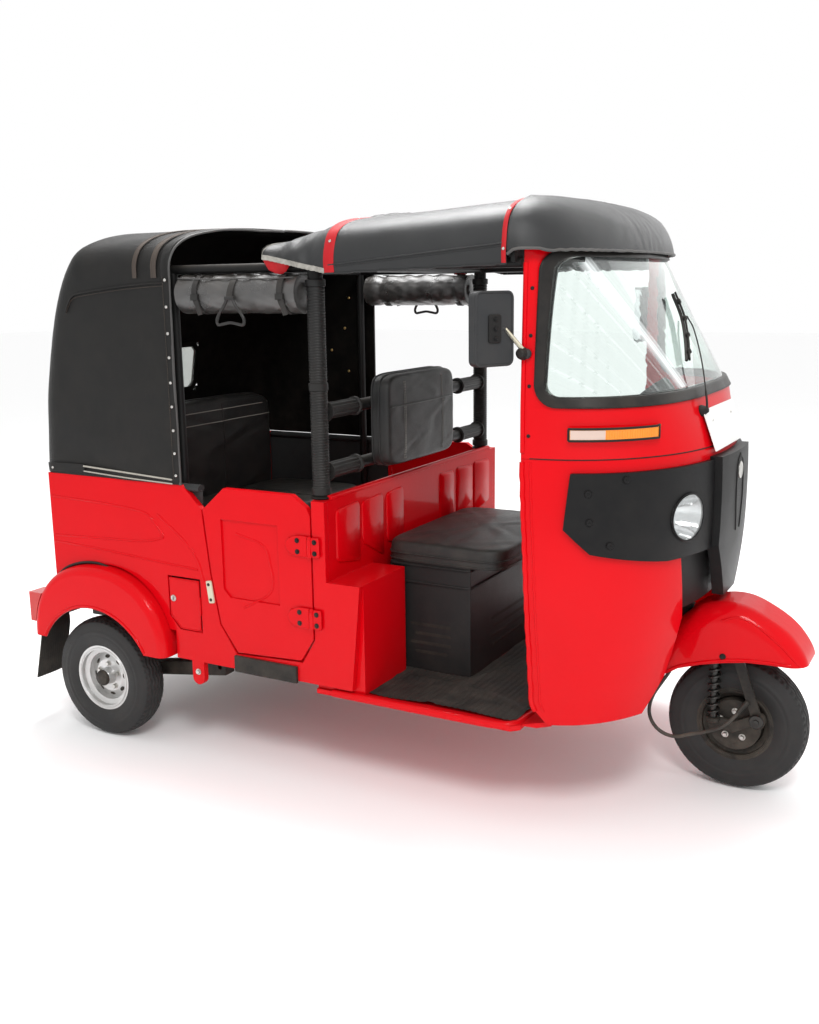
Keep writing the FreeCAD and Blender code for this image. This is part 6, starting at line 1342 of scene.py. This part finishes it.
joined("hood_seam_ridges", hood_seams, hood_vinyl, sharp=80)
joined("hood_stitches", hood_stitches, thread_brown, sharp=80)
joined("hood_studs", hood_studs, stud_silver)
front_edge = [line[0] for line in hood_grid] + [line[-1] for line in hood_grid[-2::-1]]
# The front binding's pale grey is a painted highlight along the hood's front arch.
rod("hood_front_binding_painted_highlight", [Vector((-0.5335, p.y, p.z)) for p in front_edge], 0.0042, hood_highlight, sides=10)

# Hood window: a clear soft sheet, pale with age, behind an opening cut in the hood.
# It is welded into a rounded black frame, which is bound on both faces.
window_sheet = finish("window_sheet", (0.80, 0.83, 0.80), (0.70, 0.74, 0.71), 0.22, dust=0.1, reach=2.0,
                      fine=60, bump=0.0004, gloss=0.5, Transmission_Weight=0.75, IOR=1.1)
coat(window_sheet, "rear_window")
frame_ring = []
for p in rounded([mm(0, y, z) for y, z in ((-224, 1116), (224, 1116), (224, 1294), (-224, 1294))], 0.04, 8):
    spot, _ = touch("rear_hood", (-2.0, p.y * 1.045, 1.205 + (p.z - 1.205) * 1.11), (1, 0, 0))
    if spot is not None:
        frame_ring.append(Vector((spot.x - 0.002, p.y, p.z)))
rings = [swept([p + Vector((depth, 0, 0)) for p in frame_ring + frame_ring[:1]], 0.010, 10, flat=0.5,
               up_hint=(1, 0, 0)) for depth in (0, 0.013)]
joined("hood_window_frame", rings, hood_dark, sharp=80)

# Side curtains: vinyl blinds rolled up under the roof rails, slack and creased between two straps.
# Webbing straps with steel slides hold each roll, and a grab handle hangs from the middle.
curtain_vinyl = finish("curtain_vinyl", (0.016, 0.016, 0.017), (0.030, 0.029, 0.028), 0.28, gloss=1.0,
                       dust=0.12, reach=2.2, fine=1500, broad=8, broad_share=0.9, bump=0.0009)
webbing = finish("webbing", (0.014, 0.014, 0.015), (0.030, 0.029, 0.028), 0.7, dust=0.1, reach=2.2, fine=1600,
                 bump=0.001)
handle_black = finish("handle_black", (0.016, 0.016, 0.017), (0.028, 0.028, 0.028), 0.22, dust=0.05,
                      reach=2.2, fine=700, bump=0.0002)
CURTAIN_Y, CURTAIN_Z, CURTAIN_RADIUS, STRAP_PLACES = 548, 1491.7, 56.6, (-442, -132)
LENGTH_STEPS, ROUND_STEPS = 130, 84
for side, sign in SIDES:
    outward = (0, sign, 0)
    axis_y = sign * CURTAIN_Y
    roll_points = []
    for share in (step / LENGTH_STEPS for step in range(LENGTH_STEPS + 1)):
        x = -514 + 438 * share
        strap_pull = sum(math.exp(-((x - strap) / 16) ** 2) for strap in STRAP_PLACES)
        for turn in turns(ROUND_STEPS):
            pleat = 2.6 * math.sin(share * 37 + 2.2 * math.sin(turn * 2)) * max(0.0, math.sin(turn))
            pleat += 1.8 * fold_noise(share * 5, turn * 0.9, 3.3)
            fan = 3.0 * math.sin(share * 20) ** 3 * math.cos(turn - 0.5) ** 2
            overlap = 1.1 if 0.3 < turn / (2 * math.pi) < 0.42 else 0.0
            reach = 56.4 + min(3.4, pleat * 0.8 + fan * 0.6) - 4.0 * strap_pull + overlap
            roll_points.append(mm(x, sign * (CURTAIN_Y + reach * math.cos(turn)),
                                  CURTAIN_Z + reach * math.sin(turn)))
    rows = [range(start, start + ROUND_STEPS) for start in range(0, len(roll_points), ROUND_STEPS)]
    roll_faces = stacked(rows)
    axis = Vector((0, axis_y / 1000, CURTAIN_Z / 1000))
    for row, x_way in ((rows[0], -1), (rows[-1], 1)):
        chain = [row]
        for shrink, depth in ((0.80, 0.5), (0.74, -3.0), (0.45, -2.0), (0.40, 0.0), (0.12, 0.0)):
            chain.append(range(len(roll_points), len(roll_points) + ROUND_STEPS))
            for p in (roll_points[index] for index in row):
                away = (p - axis) * shrink
                roll_points.append(Vector((p.x + x_way * depth / 1000, axis.y + away.y, axis.z + away.z)))
        roll_faces += stacked(chain) + [tuple(chain[-1])]
    roll = piece(f"curtain_roll_{side}", roll_points, roll_faces, curtain_vinyl, sharp=70)
    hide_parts("side_curtains")
    # The top hem's pale grey is a painted highlight along the top of each roll.
    shape = ((-514, 583, 1540), (-400, 588, 1536), (-300, 587, 1537), (-180, 588, 1535), (-90, 586, 1538))
    rod(f"curtain_top_hem_painted_highlight_{side}", fair_line([(x, sign * y, z) for x, y, z in shape]), 0.0022, hood_highlight)
    straps, slides = [], []
    for x in STRAP_PLACES:
        ring = []
        for share in (step / 32 for step in range(33)):
            turn = math.radians(100 - 230 * share)
            y, z = CURTAIN_Y + CURTAIN_RADIUS * math.cos(turn), CURTAIN_Z + CURTAIN_RADIUS * math.sin(turn)
            ring.append(mm(x + 18 * share ** 1.5, sign * y, z))
        straps.append(strip_on(ring, 0.019, 0.0024,
                               lambda p: Vector((0, p.y - axis.y, p.z - axis.z)).normalized()))
        tail = [mm(x + along, sign * y, z) for along, y, z in ((12, 606, 1474), (20, 607, 1452),
                                                               (24, 603, 1432))]
        straps.append(strip_on(tail, 0.017, 0.002, outward_of[sign]))
        slide = [mm(x + 6 + a, sign * 606.2, 1484 + b) for a, b in ((-14, -9), (14, -9), (14, 9), (-14, 9))]
        slides.append(plate(slide, outward, 0.0028, 0.0012))
    joined(f"curtain_straps_{side}", straps, webbing, sharp=60)
    joined(f"curtain_slides_{side}", slides, spring_steel)
    half_loop = ((-10, 0), (-22, -20), (-42, -44), (-50, -62), (-44, -74), (-22, -71))
    shape = half_loop + ((0, -68),) + tuple((-x, z) for x, z in reversed(half_loop))
    loop = fair_line([(a - 300, sign * 611, 1478 + b) for a, b in shape], 5)
    pad = rounded([mm(a - 300, sign * 611, 1478 + b)
                   for a, b in ((-17, -3), (17, -3), (17, 8), (-17, 8))], 0.003)
    handle = [swept(loop, 0.0048, 10, capped=False), plate(pad, outward, 0.006, 0.002)]
    joined(f"grab_handle_{side}", handle, handle_black)
    shape = ((-296, 560, 1548), (-297, 590, 1532), (-298, 606, 1508), (-300, 612, 1484))
    strap_line = fair_line([(x, sign * y, z) for x, y, z in shape], 5)
    piece(f"grab_strap_{side}", *strip_on(strap_line, 0.022, 0.003, outward_of[sign]), webbing, sharp=60)


# Driver's seat: a moulded plastic box with air slits and a rounded lip, a crowned cushion and a boxed back.
# Both pads are foam under black leathercloth, with piped edges and pale stitched seams on the back.
def padded_piece(name, node, centre, half_a, half_b, ways, thickness, crown, dents, seed, columns=72,
                 rows=56, power=9):
    """A stuffed pad with rounded edges, a crown and slack dents; gives its edge and its surface.

    The three ways are along it, across it and out of it, and the half sizes go with the first two."""
    way_a, way_b, out = (Vector(way) for way in ways)
    centre = Vector(centre)
    points = []
    for row in range(rows + 1):
        for column in range(columns + 1):
            a, b = -1 + 2 * column / columns, -1 + 2 * row / rows
            a, b = (math.copysign(1 - (1 - abs(t)) ** 1.35, t) for t in (a, b))
            rim = (abs(a) ** power + abs(b) ** power) ** (1 / power)
            pull = 1.0 / rim if rim > 1 else 1.0
            a, b = a * pull, b * pull
            edge = min(1.0, abs(a) ** power + abs(b) ** power)
            fall = 1 - (1 - max(0.0, 1 - edge)) ** 6
            height = thickness * (0.52 + 0.48 * fall ** 0.42) + crown * (1 - a * a) * (1 - b * b) - crown
            height += dents * fold_noise(a * 1.7, b * 1.7, seed) * (1 - edge)
            points.append(centre + way_a * half_a * a + way_b * half_b * b + out * height)
    edge = grid_edge(rows + 1, columns + 1)
    low = list(range(len(points), len(points) + len(edge)))
    edge_line = [points[i] for i in edge]
    points += [p - out * ((p - centre).dot(out)) for p in edge_line]
    faces = grid_faces(rows + 1, columns + 1) + ring_faces(edge, low) + [tuple(low)]
    made = piece(name, points, faces, seat_leather, sharp=60)
    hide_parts(node)
    return edge_line, BVHTree.FromPolygons(points, faces)


def on_pad(tree, points, way, lift=0.0006):
    """A line laid on a pad along a direction."""
    way = Vector(way)
    spots = [tree.ray_cast(p - way * 0.4, way)[0] for p in smooth_line(points, 8)]
    return [spot - way * lift for spot in spots if spot is not None]


def round_line(line, radius):
    """Piping right round a closed line."""
    return swept(line + line[:1], radius)


seat_leather = finish("seat_leather", (0.010, 0.011, 0.011), (0.018, 0.019, 0.020), 0.38, gloss=0.3,
                      dust=0.10, reach=1.4, fine=1300, broad=7, broad_share=0.8, bump=0.0009)
box_plastic = finish("box_plastic", (0.011, 0.011, 0.012), (0.017, 0.017, 0.017), 0.44, dust=0.04, reach=1.0,
                     fine=1200, bump=0.0005, edge=0.006)
thread_pale = finish("thread_pale", (0.34, 0.33, 0.29), (0.24, 0.23, 0.21), 0.6, dust=0.1, reach=1.6,
                     fine=500, bump=0.0003)
coat(box_plastic, "driver_seat_box", "bench_base")
LYING, UPRIGHT = ((1, 0, 0), (0, 1, 0), (0, 0, 1)), ((0, 1, 0), (0, 0, 1), (1, 0, 0))
seat_edge, _ = padded_piece("driver_cushion", "driver_seat", mm(230, 0, 662.4), 0.2045, 0.3045, LYING,
                            0.0735, crown=0.012, dents=0.0022, seed=1.4)
low_piping = [Vector((0.230 + (p.x - 0.230) * 1.001, p.y * 1.001, 0.668)) for p in seat_edge]
cushion_pipes = [round_line([p - Vector((0, 0, 0.001)) for p in seat_edge], 0.0034),
                 round_line(low_piping, 0.0030)]
joined("cushion_piping", cushion_pipes, seat_leather, sharp=80)
lip = rounded([mm(x, y, 598) for x, y in ((48, -301), (331, -301), (331, 301), (48, 301))], 0.02)
lips = [round_line([p + Vector((0, 0, lift)) for p in lip], 0.0042) for lift in (0, 0.055)]
joined("seat_box_lip", lips, box_plastic, sharp=80)
slits, box_flanges, box_bolts = [], [], []


def slit(start, stop, z, place, way):
    """A narrow air slit, drawn as a thin dark plate of painted shade; place gives a point of the box's face
    from its run and its height.
    """
    shape = ((start, z - 5), (stop, z - 5), (stop, z + 5), (start, z + 5))
    slits.append(plate(rounded([place(run, high) for run, high in shape], 0.005), way, 0.0005, 0.0002))


for sign in (-1, 1):
    for start, stop, z in ((120, 262, 462), (136, 262, 432), (120, 262, 402), (136, 250, 372)):
        slit(start, stop, z, lambda run, high: mm(run, sign * 300.0, high), (0, sign, 0))
    outline = rounded([mm(x, sign * 300, z) for x, z in ((52, 320), (76, 320), (76, 590), (52, 590))], 0.006)
    box_flanges.append(plate(outline, (0, sign, 0), 0.003, 0.001))
    box_bolts.append(hexed(mm(64, sign * 303, 399), (0, sign, 0), 11, 5))
for start, stop, z in ((-150, 150, 462), (-130, 150, 432), (-150, 150, 402), (-130, 130, 372)):
    slit(start, stop, z, lambda run, high: mm(330.0, run, high), (1, 0, 0))
joined("seat_box_slit_painted_shade", slits, black_and_painted_shade)
joined("seat_box_flanges", box_flanges, box_plastic)
joined("seat_box_bolts", box_bolts, bright_zinc)
pad_low, pad_high = bounds_of([v.co for v in CAD["driver_backrest"].data.vertices])
pad_middle, pad_size = (pad_low + pad_high) / 2, pad_high - pad_low
pad_edge, pad_tree = padded_piece(
    "driver_back_pad", "driver_backrest", (pad_low.x + 0.001, pad_middle.y, pad_middle.z),
    pad_size.y / 2 - 0.001, pad_size.z / 2 - 0.001, UPRIGHT, pad_size.x - 0.002, 0.008, 0.0018, 2.2, power=8)
seam_z = pad_high.z - pad_size.z * 0.34
cross_seam = [Vector((0, y, seam_z)) for y in (pad_low.y + 0.02, pad_middle.y, pad_high.y - 0.02)]
rear_edge = [Vector((pad_low.x + 0.004, p.y, p.z)) for p in pad_edge]
pad_pipes = [round_line(pad_edge, 0.0036), round_line(rear_edge, 0.0034),
             swept(on_pad(pad_tree, cross_seam, (-1, 0, 0)), 0.0026)]
joined("back_pad_piping", pad_pipes, seat_leather, sharp=80)
pad_stitches = []
for share in (0.22, 0.78):
    for y in (pad_low.y + pad_size.y * share + shift for shift in (-0.004, 0.004)):
        run = [Vector((0, y, z)) for z in (pad_low.z + 0.02, pad_middle.z, pad_high.z - 0.02)]
        pad_stitches += stitched(on_pad(pad_tree, run, (-1, 0, 0), 0.0009), 0.0008)
joined("back_pad_stitches", pad_stitches, thread_pale, sharp=80)

# Passenger bench: a long sprung cushion and a tall back in the same leathercloth, piped and seamed.
# Two pale seam lines run along the back, and its ends are rounded over.
bench_edge, bench_tree = padded_piece("bench_cushion", "passenger_seat", mm(-735, 0, 635.5), 0.2145,
                                      0.4975, LYING, 0.1085, crown=0.014, dents=0.003, seed=3.1, rows=80)
back_edge, back_tree = padded_piece("bench_back_pad", "passenger_seat", mm(-1054.5, 0, 863), 0.4975,
                                    0.2265, UPRIGHT, 0.0885, crown=0.012, dents=0.003,
                                    seed=0.6, columns=100)
bench_pipes = [round_line(bench_edge, 0.0036), round_line(back_edge, 0.0036)]
for y in (-166, 166):
    bench_pipes.append(swept(on_pad(bench_tree, [mm(x, y, 900) for x in (-930, -735, -540)],
                                    (0, 0, -1)), 0.0026))
    bench_pipes.append(swept(on_pad(back_tree, [mm(0, y, z) for z in (660, 863, 1070)], (-1, 0, 0)), 0.0026))
joined("bench_piping", bench_pipes, seat_leather, sharp=80)
bench_seams = [swept(on_pad(back_tree, [mm(0, y, z) for y in (-480, 0, 480)], (-1, 0, 0), 0.0008), 0.0018, 6)
               for z in (1046, 1000)]
joined("bench_pale_seams", bench_seams, thread_pale, sharp=80)

# Inside of the rear body: dark trim boards on the side walls, and a pale vinyl floor for the passengers.
# A padded binding of the same dark cloth covers each ledge, and brass snaps on the left wall hold its blind.
trim_grey = finish("trim_grey", (0.030, 0.031, 0.032), (0.022, 0.023, 0.024), 0.55, dust=0.05, reach=1.4)
floor_vinyl = finish("floor_vinyl", (0.30, 0.30, 0.29), (0.20, 0.195, 0.185), 0.55, dust=0.35, reach=1.2,
                     fine=700, broad=16)
brass = finish("brass", (0.62, 0.42, 0.16), (0.5, 0.34, 0.13), 0.3, dust=0.05, reach=2.2, fine=300,
               bump=0.0002, Metallic=1.0)
for side, sign in SIDES:
    wall_y = touch(f"body_side_{side}", (-0.47, 0.0, 0.70), (0, sign, 0))[0].y
    board = rounded([mm(x, 0, z) for x, z in ((-1050, 640), (-466, 640), (-466, 892), (-1050, 892))], 0.01)
    board = [Vector((p.x, wall_y, p.z)) for p in board]
    piece(f"trim_board_{side}", *plate(board, (0, -sign, 0), 0.004, 0.002), trim_grey)
    ledge = smooth_line([Vector((x, wall_y, 0.896)) for x in (-1.040, -0.850, -0.660, -0.470)], 4)
    rod(f"ledge_binding_{side}", ledge, 0.017, trim_grey, sides=10, flat=0.7)
VINYL_COLUMNS, VINYL_ROWS, FLOOR_HEIGHT = 40, 60, 0.3402
vinyl_points = []
for row in range(VINYL_ROWS + 1):
    for column in range(VINYL_COLUMNS + 1):
        x, y = -515 + 450 * column / VINYL_COLUMNS, -545 + 1090 * row / VINYL_ROWS
        spot, _ = touch("floor_pan", (x / 1000, y / 1000, 0.6), (0, 0, -1))
        z = (spot.z if spot else FLOOR_HEIGHT) + 0.0022 + 0.0010 * fold_noise(x / 300, y / 300, 1.1)
        vinyl_points.append(Vector((x / 1000, y / 1000, z)))
vinyl_faces = []
for ring in grid_faces(VINYL_ROWS + 1, VINYL_COLUMNS + 1):
    heights = [vinyl_points[i].z for i in ring]
    if max(heights) - min(heights) < 0.01:
        vinyl_faces.append(ring)
floor_sheet = piece("passenger_floor_vinyl", vinyl_points, vinyl_faces, floor_vinyl, sharp=60)
snaps = [screwed(mm(x, 594, z), (0, -1, 0), 6, 3)
         for x, z in ((-645, 1464), (-667, 1344), (-733, 1255), (-653, 1171))]
joined("blind_snaps", snaps, brass)
